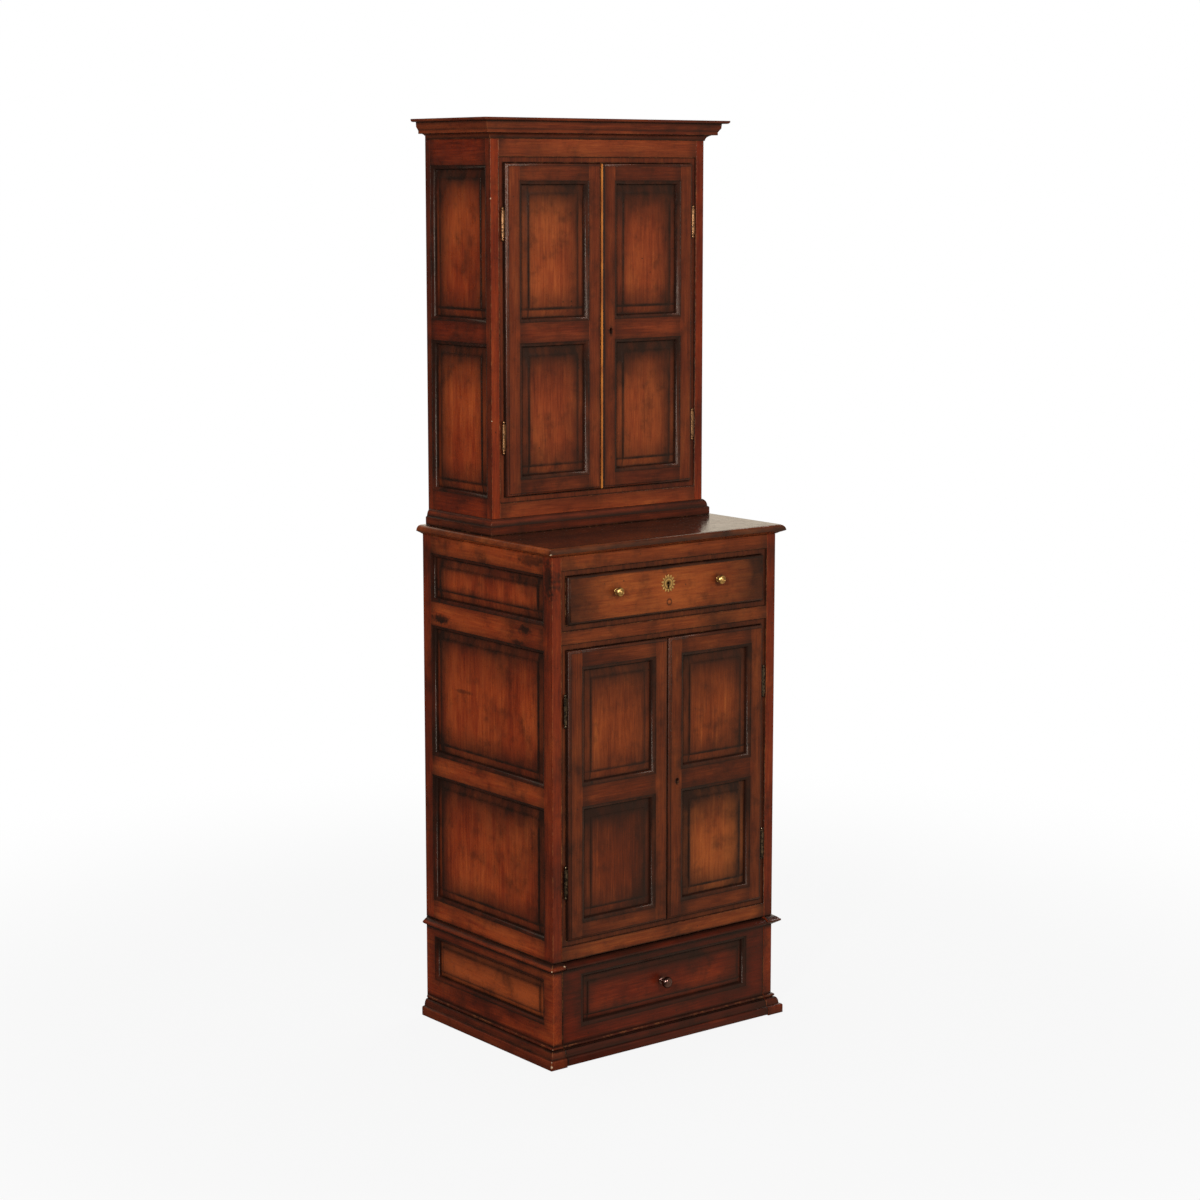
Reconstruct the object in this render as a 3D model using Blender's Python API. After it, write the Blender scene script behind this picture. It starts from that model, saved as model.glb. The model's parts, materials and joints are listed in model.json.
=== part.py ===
"""Step-back cupboard: a shallow upper case on a deeper lower case, on a plinth that hides a drawer.

Metres, +Z up, doors facing -Y. The origin is on the floor under the middle of the object.
"""

import math

import bmesh
import bpy
from mathutils import Vector

# Clearances
FIT = 0.0003            # between pieces that touch
DOOR_GAP = 0.001        # round a door or drawer front in its opening
MEETING_GAP = 0.002     # between the two doors of a pair
RUNNING_GAP = 0.0005    # under a drawer on its runners
SIDE_PLAY = 0.0005      # drawer box inside the ends of its front
FLOOR_GAP = 0.0025      # under the plinth drawer
HEAD_GAP = 0.003        # over the plinth drawer's front

# Cases
LOWER_WIDTH = 0.606
LOWER_DEPTH = 0.466
LOWER_HEIGHT = 0.853
UPPER_WIDTH = 0.574
UPPER_DEPTH = 0.237
UPPER_HEIGHT = 0.8395
LOWER_SIDE = 0.0225     # thickness of a lower side, which is also its corner post
UPPER_SIDE = 0.020
FRAME_THICK = 0.024     # face frames
BACK_THICK = 0.010
BACK_GROOVE = 0.002     # between the boards of a back
BOARD_THICK = 0.018     # cupboard floors, tops and drawer deck
SHELF_THICK = 0.016
SHELF_SETBACK = 0.012   # shelf edge behind the face frame

# Slab, mouldings and plinth
SLAB_THICK = 0.0205
SLAB_PROUD = 0.017
CORNICE_HEIGHT = 0.043
CORNICE_PROUD = 0.041
CORNICE_RISE = 0.025    # cornice top above the upper case
FOOT_MOULD_HEIGHT = 0.034
FOOT_MOULD_PROUD = 0.0125
PLINTH_HEIGHT = 0.222
PLINTH_WALL = 0.018
MOULD_SETBACK = 0.007   # mouldings stop short of the back
NOSE_HEIGHT = 0.0205
NOSE_PROUD = 0.015
BASE_HEIGHT = 0.044
BASE_PROUD = 0.019
BLOCK_WIDTH = 0.0235    # corner blocks beside the plinth drawer
BLOCK_DEPTH = 0.030
RUNNER_REACH = 0.053    # plinth runners, from the outer face inward

# Face frames: a sunk strip runs round every opening
STRIP_DROP = 0.004
UPPER_STRIP = 0.012
LOWER_STRIP = 0.012
FRAME_MARGIN = 0.002    # flush edge of a face frame beside the post
UPPER_BOTTOM_RAIL = 0.065
UPPER_TOP_RAIL = 0.0545
LOWER_BOTTOM_RAIL = 0.031
LOWER_TOP_RAIL = 0.030
DIVIDER_RAIL = 0.0275
DIVIDER_DOWN = 0.16975  # divider centre below the slab

# Doors and their panels
DOOR_THICK = 0.020
DOOR_PROUD = 0.007
DOOR_STILE = 0.0345
DOOR_TOP_RAIL = 0.0365
DOOR_BOTTOM_RAIL = 0.0345
MID_RAIL = 0.044
UPPER_MID_SHARE = 0.501     # middle rail up the upper case
LOWER_MID_SHARE = 0.5085    # middle rail between plinth and divider
THUMB_RADIUS = 0.0055   # rounded outer edge of doors and drawer fronts
MOULD_STEP = 0.0012     # small step beside each moulding
STICK_RADIUS = 0.0085   # moulding worked round every panel
STICK_LIP = 0.0005
GROOVE_FLOOR = 0.0005   # groove bottom behind the moulding's outer line
TONGUE_PLAY = 0.001
PANEL_EDGE = 0.006
PANEL_BEVEL = 0.018
PANEL_RISE = 0.0033
PANEL_STEP = 0.0016
ARC_STEPS = 4

# Panels of the sides and the plinth
UPPER_SIDE_STILE = 0.0175
LOWER_SIDE_STILE = 0.030
UPPER_SIDE_TOP_RAIL = 0.072
UPPER_SIDE_BOTTOM_RAIL = 0.0755
LOWER_SIDE_TOP_RAIL = 0.039
LOWER_SIDE_BOTTOM_RAIL = 0.044
SIDE_DIVIDER = 0.053
PLINTH_STILE = 0.033
PLINTH_TOP_RAIL = 0.0195
PLINTH_BOTTOM_RAIL = 0.0405
PLINTH_BEVEL = 0.0125

# Hinges: two barrels on a pin, ball tips, leaves mortised into door and frame
BARREL_RADIUS = 0.0042
BARREL_LENGTH = 0.056
PIN_RADIUS = 0.0017
PIN_LENGTH = 0.020
BORE_PLAY = 0.0003
TIP_RADIUS = 0.0034
TIP_NECK = 0.0022
HINGE_OUT = 0.0052      # pin outside the door's edge
HINGE_INSET = 0.125     # hinge centre from the door's end
LEAF_REACH = 0.018
HINGE_SIDES = 12

# Drawers
FRONT_THICK = 0.020
DRAWER_WALL = 0.012
DRAWER_BOTTOM = 0.006
BOTTOM_RAISE = 0.008    # drawer bottom above the box's lower edge
BOTTOM_GROOVE = 0.005
TOP_BOX_HEIGHT = 0.092
PLINTH_BOX_HEIGHT = 0.148
BOX_BACK_GAP = 0.020    # free room behind a closed drawer
GUIDE_HEIGHT = 0.020
TAIL_LENGTH = 0.0085    # dovetails of a drawer side, lapped by the front
TAIL_FLARE = 0.0025
TAIL_ROOT = 0.0016      # tail buried in its side
TOP_TAILS = 3
PLINTH_TAILS = 4
PLINTH_PANEL_EDGE = 0.050
PLINTH_PANEL_LOW = 0.030
PLINTH_PANEL_HIGH = 0.014

# Knobs, keyholes and locks
KNOB_RADIUS = 0.010
KNOB_OUT = 0.0185
KNOB_SPACING = 0.276
KNOB_LIFT = 0.0098      # above the middle of the drawer front
TURNED_KNOB_RADIUS = 0.0125
TURNED_KNOB_OUT = 0.029
TURNED_KNOB_X = -0.008
FITTINGS_X = -0.0035    # knobs and shield sit a little left of the middle
SPIGOT_RADIUS = 0.003
SPIGOT_LENGTH = 0.010
SHIELD_RADIUS = 0.019
SHIELD_NOTCH = 0.0042
SHIELD_PETALS = 14
SHIELD_THICK = 0.0016
SHIELD_LIFT = 0.0135
KEY_RADIUS = 0.0033
KEY_SLOT = 0.0034
KEY_DROP = 0.0105
KEY_INSET = 0.023       # door keyhole from the meeting edge
LOCK_WIDTH = 0.030
LOCK_HEIGHT = 0.036
LOCK_THICK = 0.009
LOCK_EDGE = 0.003       # lock case from the meeting edge
LATHE_SIDES = 20

# Places worked out from the sizes above
FIELD_DEPTH = MOULD_STEP + STICK_RADIUS + STICK_LIP - PANEL_RISE - PANEL_STEP
REACH = max(SLAB_PROUD, DOOR_PROUD + KNOB_OUT, TURNED_KNOB_OUT - FIELD_DEPTH)
BACK = (LOWER_DEPTH + REACH) / 2
LOWER_FRONT = BACK - LOWER_DEPTH
UPPER_FRONT = BACK - UPPER_DEPTH
LOWER_HALF = LOWER_WIDTH / 2
UPPER_HALF = UPPER_WIDTH / 2
LOWER_TOP = PLINTH_HEIGHT + LOWER_HEIGHT
SLAB_TOP = LOWER_TOP + SLAB_THICK
UPPER_TOP = SLAB_TOP + UPPER_HEIGHT
UPPER_MID = SLAB_TOP + UPPER_MID_SHARE * UPPER_HEIGHT
DIVIDER = LOWER_TOP - DIVIDER_DOWN
LOWER_MID = PLINTH_HEIGHT + LOWER_MID_SHARE * (DIVIDER - PLINTH_HEIGHT)
NOSE_LOW = PLINTH_HEIGHT - NOSE_HEIGHT
SEAM = LOWER_HALF - BLOCK_WIDTH
PIN_DEPTH = BARREL_RADIUS + FIT - STRIP_DROP     # pin in front of the frame's face
WELD = 1e-6
SLIVER = 1e-9         # smallest area of a real face


def upper_strip_outline():
    """Outer edge of the sunk strip round the upper doors: x0, x1, z0, z1."""
    half = UPPER_HALF - UPPER_SIDE - FIT - FRAME_MARGIN
    return (-half, half, SLAB_TOP + UPPER_BOTTOM_RAIL, UPPER_TOP - UPPER_TOP_RAIL)


def lower_strip_outlines():
    """Outer edges of the strips round the lower doors and the top drawer."""
    half = LOWER_HALF - LOWER_SIDE - FIT - FRAME_MARGIN
    doors = (-half, half, PLINTH_HEIGHT + LOWER_BOTTOM_RAIL, DIVIDER - DIVIDER_RAIL / 2)
    drawer = (-half, half, DIVIDER + DIVIDER_RAIL / 2, LOWER_TOP - LOWER_TOP_RAIL)
    return doors, drawer


def shrink(rect, amount):
    """Rectangle drawn in by the same amount on all four sides."""
    return (rect[0] + amount, rect[1] - amount, rect[2] + amount, rect[3] - amount)


UPPER_OPENING = shrink(upper_strip_outline(), UPPER_STRIP)
LOWER_OPENING = shrink(lower_strip_outlines()[0], LOWER_STRIP)
DRAWER_OPENING = shrink(lower_strip_outlines()[1], LOWER_STRIP)


# Building blocks

def make_material(name, colour, roughness, metallic=0.0):
    """Principled material of one plain colour."""
    item = bpy.data.materials.new(name)
    item.use_nodes = True
    shader = item.node_tree.nodes["Principled BSDF"]
    shader.inputs["Base Color"].default_value = (*colour, 1.0)
    shader.inputs["Roughness"].default_value = roughness
    shader.inputs["Metallic"].default_value = metallic
    item.diffuse_color = (*colour, 1.0)
    return item


def drop_slivers(bm):
    """Remove the faces without area that a level step leaves along a straight end."""
    slivers = [face for face in bm.faces if face.calc_area() < SLIVER]
    for face in slivers:
        longest = max(face.edges, key=lambda edge: edge.calc_length())
        start = longest.verts[0]
        middle = next(vert for vert in face.verts if vert not in longest.verts)
        share = (middle.co - start.co).length / longest.calc_length()
        bmesh.utils.edge_split(longest, start, share)
    bmesh.ops.delete(bm, geom=slivers, context="FACES_ONLY")
    bmesh.ops.remove_doubles(bm, verts=bm.verts, dist=WELD)


def finish(name, bm, look, origin=(0.0, 0.0, 0.0), round_form=False):
    """Weld a mesh, face it outward and place it as a named object with its own origin."""
    bmesh.ops.remove_doubles(bm, verts=bm.verts, dist=WELD)
    drop_slivers(bm)
    bmesh.ops.recalc_face_normals(bm, faces=bm.faces)
    bmesh.ops.translate(bm, verts=bm.verts, vec=-Vector(origin))
    mesh = bpy.data.meshes.new(name)
    bm.to_mesh(mesh)
    bm.free()
    item = bpy.data.objects.new(name, mesh)
    item.location = origin
    bpy.context.scene.collection.objects.link(item)
    if look:
        mesh.materials.append(look)
    if round_form:
        mesh.shade_smooth()
        mesh.set_sharp_from_angle(angle=math.radians(35))
    return item


def combine(item, bm, operation):
    """Join the closed shapes of a mesh to an object, or cut them out of it."""
    guide = finish(operation.lower() + "_" + item.name, bm, None)
    guide.hide_render = True
    guide.display_type = "WIRE"
    boolean = item.modifiers.new(operation.lower(), "BOOLEAN")
    boolean.operation = operation
    boolean.solver = "EXACT"
    boolean.object = guide


def cut(item, bm):
    """Cut the closed shapes of a mesh out of an object."""
    combine(item, bm, "DIFFERENCE")


def world(x, y, z):
    """Points already in the object's own frame."""
    return (x, y, z)


def front_place(face):
    """Map width, height and outward depth onto a surface at y = face."""
    return lambda u, v, w: (u, face - w, v)


def side_place(sign, half, front):
    """Map distance from the front, height and outward depth onto a left or right side."""
    return lambda u, v, w: (sign * (half + w), front + u, v)


def add_face(bm, place, points):
    """One face through mapped points."""
    bm.faces.new([bm.verts.new(place(*point)) for point in points])


def bands(bm, place, rings, skip=()):
    """Walls between rings of points, leaving out the (ring, side) pairs in skip."""
    for level, (low, high) in enumerate(zip(rings, rings[1:])):
        for side in range(len(low)):
            if (level, side) in skip:
                continue
            after = (side + 1) % len(low)
            add_face(bm, place, (low[side], low[after], high[after], high[side]))


def rect_ring(rect, inset, depth, splits=()):
    """Rectangle of points at one depth, with extra points on both uprights at the split heights."""
    u0, u1, v0, v1 = shrink(rect, inset)
    ring = [(u0, v0, depth), (u1, v0, depth)]
    ring += [(u1, split, depth) for split in splits]
    ring += [(u1, v1, depth), (u0, v1, depth)]
    ring += [(u0, split, depth) for split in reversed(splits)]
    return ring


def board(bm, place, rect, edge, windows=(), profile=(), splits=(), through=False):
    """Board with a profiled outer edge and windows.

    edge runs from back to front and profile from the front inward, both as (inset, depth) points.
    Windows go right through, or end in a raised field.
    """
    rings = [rect_ring(rect, inset, depth, splits) for inset, depth in edge]
    bands(bm, place, rings)
    back_depth = edge[0][1]
    front_inset, front_depth = edge[-1]
    if not through:
        add_face(bm, place, rings[0])
    if not windows:
        add_face(bm, place, rings[-1])
        return
    u0, u1, v0, v1 = shrink(rect, front_inset)
    heights = [v0, *splits, v1]
    back_heights = [rect[2], *splits, rect[3]]
    for index, window in enumerate(windows):
        cell = (u0, u1, heights[index], heights[index + 1])
        chain = [rect_ring(cell, 0, front_depth)]
        chain += [rect_ring(window, inset, depth) for inset, depth in profile]
        if through:
            back_cell = (rect[0], rect[1], back_heights[index], back_heights[index + 1])
            chain.append(rect_ring(back_cell, 0, back_depth))
        else:
            add_face(bm, place, chain[-1])
        bands(bm, place, chain)


def block(bm, low, high):
    """Plain box between two corners."""
    rect = (low[0], high[0], low[2], high[2])
    rings = [rect_ring(rect, 0, -low[1]), rect_ring(rect, 0, -high[1])]
    place = front_place(0.0)
    bands(bm, place, rings)
    for ring in rings:
        add_face(bm, place, ring)


def stack(bm, levels, skip=()):
    """Solid through plan outlines at rising heights: levels are (outline, height)."""
    rings = [[(x, y, height) for x, y in outline] for outline, height in levels]
    bands(bm, world, rings, skip)
    add_face(bm, world, rings[0])
    add_face(bm, world, rings[-1])


def arc(centre, radius, start, end, steps=ARC_STEPS, squash=1.0):
    """Points on an arc from start to end in degrees; squash scales the second coordinate."""
    points = []
    for step in range(steps + 1):
        angle = math.radians(start + (end - start) * step / steps)
        across = centre[0] + radius * math.cos(angle)
        points.append((across, centre[1] + squash * radius * math.sin(angle)))
    return points


def lathe(bm, profile, centre, axis, sides):
    """Turn a (radius, distance) profile round an upright or fore-and-aft axis through centre."""
    axis = Vector(axis)
    first = Vector((1, 0, 0))
    second = axis.cross(first)
    rings = []
    for radius, distance in profile:
        ring = []
        for step in range(sides):
            angle = 2 * math.pi * (step + 0.5) / sides
            spoke = first * math.cos(angle) + second * math.sin(angle)
            ring.append(tuple(Vector(centre) + axis * distance + spoke * radius))
        rings.append(ring)
    bands(bm, world, rings)


# Profiles

def thumb_edge(thick):
    """Rounded edge of doors and drawer fronts with a small step up to the face, back to front."""
    start = thick - MOULD_STEP - THUMB_RADIUS
    curve = arc((THUMB_RADIUS, start), THUMB_RADIUS, 180, 90)
    return [(0.0, 0.0), *curve, (THUMB_RADIUS, thick)]


def ovolo(face):
    """Moulding worked on the inner edge of a frame, from the face inward."""
    curve = arc((0.0, face - MOULD_STEP - STICK_RADIUS), STICK_RADIUS, 90, 0)
    return [(0.0, face), *curve]


def groove_front(face):
    """Depth of the front wall of a panel groove."""
    return face - MOULD_STEP - STICK_RADIUS - STICK_LIP


def grooved_window(face):
    """Moulding, panel groove and back lip of a door frame, from the face to the back."""
    front = groove_front(face)
    back = front - PANEL_EDGE - 2 * FIT
    tail = [(STICK_RADIUS, front), (GROOVE_FLOOR, front), (GROOVE_FLOOR, back)]
    return [*ovolo(face), *tail, (STICK_RADIUS, back), (STICK_RADIUS, 0.0)]


def fielded(start, bevel):
    """Bevel and raised field of a panel, from the moulding's foot inward."""
    foot = STICK_RADIUS
    edge = foot + bevel
    return [(foot, start), (edge, start + PANEL_RISE), (edge + FIT, start + PANEL_RISE + PANEL_STEP)]


def sunk_panel(bevel):
    """Moulding and fielded panel on the outside of a case side, with the face at depth zero."""
    return [*ovolo(0.0), *fielded(groove_front(0.0), bevel)]


def cornice_profile():
    """Cove, step, slope and round-edged fillet, as (proud, height) from below."""
    low = UPPER_TOP + CORNICE_RISE - CORNICE_HEIGHT
    share = CORNICE_PROUD
    cove = arc((0.305 * share, low), 0.256 * share, 180, 90, squash=CORNICE_HEIGHT / share)
    fillet = low + 0.85 * CORNICE_HEIGHT
    nose = 0.12 * share
    tip = arc((share - nose, fillet + nose), nose, -90, 0, steps=3)
    steps = [(0.305 * share, low + 0.28 * CORNICE_HEIGHT), (0.54 * share, low + 0.28 * CORNICE_HEIGHT)]
    steps += [(0.54 * share, low + 0.43 * CORNICE_HEIGHT), (0.67 * share, low + 0.62 * CORNICE_HEIGHT)]
    steps += [(0.69 * share, fillet)]
    return [*cove[:-1], *steps, *tip, (share, low + CORNICE_HEIGHT)]


def foot_profile():
    """Flat, fillet and ovolo round the foot of the upper case."""
    low = SLAB_TOP + FIT
    high = FOOT_MOULD_HEIGHT
    share = FOOT_MOULD_PROUD
    curve = arc((0.0, low + 0.54 * high), 0.74 * share, 0, 80, squash=0.46 * high / (0.74 * share))
    return [(share, low), (share, low + 0.46 * high), (0.95 * share, low + 0.49 * high), *curve]


def slab_profile():
    """Sloping underside and round nose of the slab's edge."""
    nose = 0.40 * SLAB_THICK
    bead = arc((0.30 * SLAB_PROUD, LOWER_TOP + nose), 0.70 * SLAB_PROUD, 0, 90, steps=5,
               squash=0.60 * SLAB_THICK / (0.70 * SLAB_PROUD))
    under = [(0.06 * SLAB_PROUD, LOWER_TOP), (0.50 * SLAB_PROUD, LOWER_TOP + 0.20 * SLAB_THICK)]
    return [*under, (0.94 * SLAB_PROUD, LOWER_TOP + 0.36 * SLAB_THICK), *bead]


def base_profile(low):
    """Round-edged foot, ovolo and bead of the base moulding."""
    edge = 0.24 * BASE_PROUD
    foot = arc((BASE_PROUD - edge, 0.36 * BASE_HEIGHT), edge, 0, 90, steps=3, squash=0.10 * BASE_HEIGHT / edge)
    curve = arc((0.30 * BASE_PROUD, 0.47 * BASE_HEIGHT), 0.36 * BASE_PROUD, 0, 82,
                squash=0.34 * BASE_HEIGHT / (0.36 * BASE_PROUD))
    bead = arc((0.06 * BASE_PROUD, 0.91 * BASE_HEIGHT), 0.26 * BASE_PROUD, -70, 80, steps=3,
               squash=0.09 * BASE_HEIGHT / (0.26 * BASE_PROUD))
    return [(BASE_PROUD, low), *foot, *curve, *bead, (0.0, BASE_HEIGHT)]


def nose_profile(high):
    """Moulding at the top of the plinth: slanted underside, round tip and crowned top."""
    rise = high - NOSE_LOW
    tip = arc((0.80 * NOSE_PROUD, NOSE_LOW + 0.53 * rise), 0.20 * NOSE_PROUD, -70, 70, steps=5,
              squash=0.15 * rise / (0.20 * NOSE_PROUD))
    crown = [(0.56 * NOSE_PROUD, NOSE_LOW + 0.86 * rise), (0.20 * NOSE_PROUD, high)]
    return [(0.0, NOSE_LOW), *tip, *crown]


# Case pieces

def case_moulding(name, look, half, front, profile):
    """Mitred moulding on the left, front and right of a case."""
    inner = half + FIT
    end = BACK - MOULD_SETBACK
    levels = []
    for proud, height in profile:
        outer = half + max(proud, 2 * FIT)
        lead = front - max(proud, 2 * FIT)
        outline = [(-outer, end), (-outer, lead), (outer, lead), (outer, end)]
        outline += [(inner, end), (inner, front - FIT), (-inner, front - FIT), (-inner, end)]
        levels.append((outline, height))
    bm = bmesh.new()
    stack(bm, levels)
    return finish(name, bm, look)


def build_slab(look):
    """Top of the lower case, moulded on three sides."""
    levels = []
    for proud, height in slab_profile():
        outer = LOWER_HALF + proud
        lead = LOWER_FRONT - proud
        levels.append(([(-outer, BACK), (-outer, lead), (outer, lead), (outer, BACK)], height))
    bm = bmesh.new()
    stack(bm, levels)
    finish("lower_top", bm, look)


def build_side(name, look, sign, half, front, thick, stile, rails):
    """Case side: rails and stiles round fielded panels. rails are (low, high) pairs, from below."""
    depth = BACK - front
    rect = (0.0, depth, rails[0][0], rails[-1][1])
    windows = [(stile, depth - stile, low[1], high[0]) for low, high in zip(rails, rails[1:])]
    splits = [(low + high) / 2 for low, high in rails[1:-1]]
    bm = bmesh.new()
    edge = [(0.0, -thick), (0.0, 0.0)]
    board(bm, side_place(sign, half, front), rect, edge, windows, sunk_panel(PANEL_BEVEL), splits)
    finish(name, bm, look)


def build_face_frame(name, look, half, front, low, high, outlines, strip):
    """Face frame with a sunk strip round each opening, and mortises for the frame's hinge leaves."""
    rect = (-half, half, low, high)
    splits = [(a[3] + b[2]) / 2 for a, b in zip(outlines, outlines[1:])]
    profile = [(0.0, 0.0), (0.0, -STRIP_DROP), (strip, -STRIP_DROP), (strip, -FRAME_THICK)]
    edge = [(0.0, -FRAME_THICK), (0.0, 0.0)]
    bm = bmesh.new()
    board(bm, front_place(front), rect, edge, outlines, profile, splits, through=True)
    return finish(name, bm, look)


def leaf_thickness():
    """A leaf is as thick as one flat of the hinge barrel."""
    return 2 * BARREL_RADIUS * math.sin(math.pi / HINGE_SIDES)


def mortise_frame(item, opening, front):
    """Slots in the sunk strip for the leaves of the frame's hinge halves."""
    room = leaf_thickness() / 2 + FIT
    bm = bmesh.new()
    door = shrink(opening, DOOR_GAP)
    for height in hinge_heights(door):
        for sign in (-1, 1):
            x = sign * (door[1] + HINGE_OUT)
            low = (x - room, front, height - BARREL_LENGTH / 2 - FIT)
            high = (x + room, front - PIN_DEPTH + LEAF_REACH + FIT, height + FIT)
            block(bm, low, high)
    cut(item, bm)


def build_back(name, look, half, low, high):
    """Back of upright boards, with a V groove at each joint."""
    joints = [-half / 3, half / 3]
    inner = BACK - BACK_THICK
    outline = [(half, BACK), (half, inner), (-half, inner), (-half, BACK)]
    for joint in joints:
        outline += [(joint - BACK_GROOVE, BACK), (joint, BACK - BACK_GROOVE), (joint + BACK_GROOVE, BACK)]
    bm = bmesh.new()
    stack(bm, [(outline, low), (outline, high)])
    finish(name, bm, look)


def build_board(name, look, half, front, back, low, thick):
    """Plain horizontal board."""
    bm = bmesh.new()
    block(bm, (-half, front, low), (half, back, low + thick))
    finish(name, bm, look)


def build_upper_case(wood, plain):
    """Upper case with its cornice and foot moulding."""
    low = SLAB_TOP + FIT
    rails = [(low, SLAB_TOP + UPPER_SIDE_BOTTOM_RAIL)]
    rails.append((UPPER_MID - MID_RAIL / 2, UPPER_MID + MID_RAIL / 2))
    rails.append((UPPER_TOP - UPPER_SIDE_TOP_RAIL, UPPER_TOP))
    for side, sign in (("left", -1), ("right", 1)):
        name = "upper_" + side + "_side"
        build_side(name, wood, sign, UPPER_HALF, UPPER_FRONT, UPPER_SIDE, UPPER_SIDE_STILE, rails)
    inner = UPPER_HALF - UPPER_SIDE - FIT
    frame = build_face_frame("upper_face_frame", wood, inner, UPPER_FRONT, low, UPPER_TOP,
                             [upper_strip_outline()], UPPER_STRIP)
    mortise_frame(frame, UPPER_OPENING, UPPER_FRONT)
    build_back("upper_back", plain, inner, low, UPPER_TOP)
    behind = UPPER_FRONT + FRAME_THICK + FIT
    against = BACK - BACK_THICK - FIT
    build_board("upper_bottom", plain, inner, behind, against, UPPER_OPENING[2] - BOARD_THICK, BOARD_THICK)
    shelf_low = UPPER_MID - SHELF_THICK / 2
    build_board("upper_shelf", plain, inner, behind + SHELF_SETBACK, against, shelf_low, SHELF_THICK)
    build_board("upper_top", plain, UPPER_HALF, UPPER_FRONT, BACK, UPPER_TOP + FIT, BOARD_THICK - FIT)
    case_moulding("cornice", wood, UPPER_HALF, UPPER_FRONT, cornice_profile())
    case_moulding("upper_base_moulding", wood, UPPER_HALF, UPPER_FRONT, foot_profile())


def build_lower_case(wood, plain):
    """Lower case between the plinth and the slab."""
    low = PLINTH_HEIGHT + FIT
    high = LOWER_TOP - FIT
    rails = [(low, PLINTH_HEIGHT + LOWER_SIDE_BOTTOM_RAIL)]
    rails.append((LOWER_MID - MID_RAIL / 2, LOWER_MID + MID_RAIL / 2))
    rails.append((DIVIDER - SIDE_DIVIDER / 2, DIVIDER + SIDE_DIVIDER / 2))
    rails.append((LOWER_TOP - LOWER_SIDE_TOP_RAIL, high))
    for side, sign in (("left", -1), ("right", 1)):
        name = "lower_" + side + "_side"
        build_side(name, wood, sign, LOWER_HALF, LOWER_FRONT, LOWER_SIDE, LOWER_SIDE_STILE, rails)
    inner = LOWER_HALF - LOWER_SIDE - FIT
    frame = build_face_frame("lower_face_frame", wood, inner, LOWER_FRONT, low, high,
                             lower_strip_outlines(), LOWER_STRIP)
    mortise_frame(frame, LOWER_OPENING, LOWER_FRONT)
    build_back("lower_back", plain, inner, low, high)
    behind = LOWER_FRONT + FRAME_THICK + FIT
    against = BACK - BACK_THICK - FIT
    build_board("lower_floor", plain, inner, behind, against, LOWER_OPENING[2] - BOARD_THICK, BOARD_THICK)
    shelf_low = LOWER_MID - SHELF_THICK / 2
    build_board("lower_shelf", plain, inner, behind + SHELF_SETBACK, against, shelf_low, SHELF_THICK)
    build_deck(plain, inner, behind, against)
    build_slab(wood)


def build_deck(look, half, front, back):
    """Dust board under the top drawer, with a guide strip along each side of the drawer."""
    top = DRAWER_OPENING[2]
    low = top - BOARD_THICK
    guide = DRAWER_OPENING[1]
    section = [(-half, low), (half, low), (half, top + GUIDE_HEIGHT), (guide, top + GUIDE_HEIGHT)]
    section += [(guide, top), (-guide, top), (-guide, top + GUIDE_HEIGHT), (-half, top + GUIDE_HEIGHT)]
    bm = bmesh.new()
    rings = [[(x, y, z) for x, z in section] for y in (front, back)]
    bands(bm, world, rings)
    for ring in rings:
        add_face(bm, world, ring)
    finish("drawer_deck", bm, look)


def build_plinth_side(name, look, sign):
    """Side of the plinth with its corner block, runner, base moulding, panel and pointed top."""
    levels = []
    for proud, height in base_profile(0.0):
        levels.append((proud, RUNNER_REACH, height))
    levels.append((0.0, PLINTH_WALL, BASE_HEIGHT))
    panel_level = len(levels) - 1
    for proud, height in nose_profile(PLINTH_HEIGHT):
        levels.append((proud, PLINTH_WALL, height))
    outlines = []
    inside = LOWER_FRONT + BLOCK_DEPTH
    stop = BACK - BOARD_THICK - FIT
    end = BACK - MOULD_SETBACK
    for proud, wall, height in levels:
        outer = LOWER_HALF + proud
        lead = LOWER_FRONT - proud
        points = [(outer, end), (outer, lead), (SEAM, lead), (SEAM, inside)]
        points += [(LOWER_HALF - wall, inside), (LOWER_HALF - wall, stop)]
        points += [(LOWER_HALF - PLINTH_WALL, stop), (LOWER_HALF - PLINTH_WALL, BACK)]
        points += [(LOWER_HALF, BACK), (LOWER_HALF, end)]
        outlines.append(([(sign * x, y) for x, y in points], height))
    bm = bmesh.new()
    stack(bm, outlines, skip={(panel_level, 0)})
    place = side_place(sign, LOWER_HALF, LOWER_FRONT)
    cell = (0.0, LOWER_DEPTH - MOULD_SETBACK, BASE_HEIGHT, NOSE_LOW)
    window = (PLINTH_STILE, LOWER_DEPTH - PLINTH_STILE, BASE_HEIGHT + PLINTH_BOTTOM_RAIL,
              NOSE_LOW - PLINTH_TOP_RAIL)
    add_panel(bm, place, cell, window, PLINTH_BEVEL)
    finish(name, bm, look)


def add_panel(bm, place, cell, window, bevel):
    """Fielded panel sunk in one flat part of a moulded piece."""
    rings = [rect_ring(cell, 0, 0.0)]
    rings += [rect_ring(window, inset, depth) for inset, depth in sunk_panel(bevel)]
    bands(bm, place, rings)
    add_face(bm, place, rings[-1])


def build_plinth(wood, plain):
    """Two plinth sides and the board that ties them at the back."""
    for side, sign in (("left", -1), ("right", 1)):
        build_plinth_side("plinth_" + side, wood, sign)
    half = LOWER_HALF - PLINTH_WALL - FIT
    build_board("plinth_back", plain, half, BACK - BOARD_THICK, BACK, 0.0, PLINTH_HEIGHT)


# Doors

def door_rect(opening, sign):
    """Outline of the left (-1) or right (1) door in an opening: x0, x1, z0, z1."""
    outer = shrink(opening, DOOR_GAP)
    if sign < 0:
        return (outer[0], -MEETING_GAP / 2, outer[2], outer[3])
    return (MEETING_GAP / 2, outer[1], outer[2], outer[3])


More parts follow.
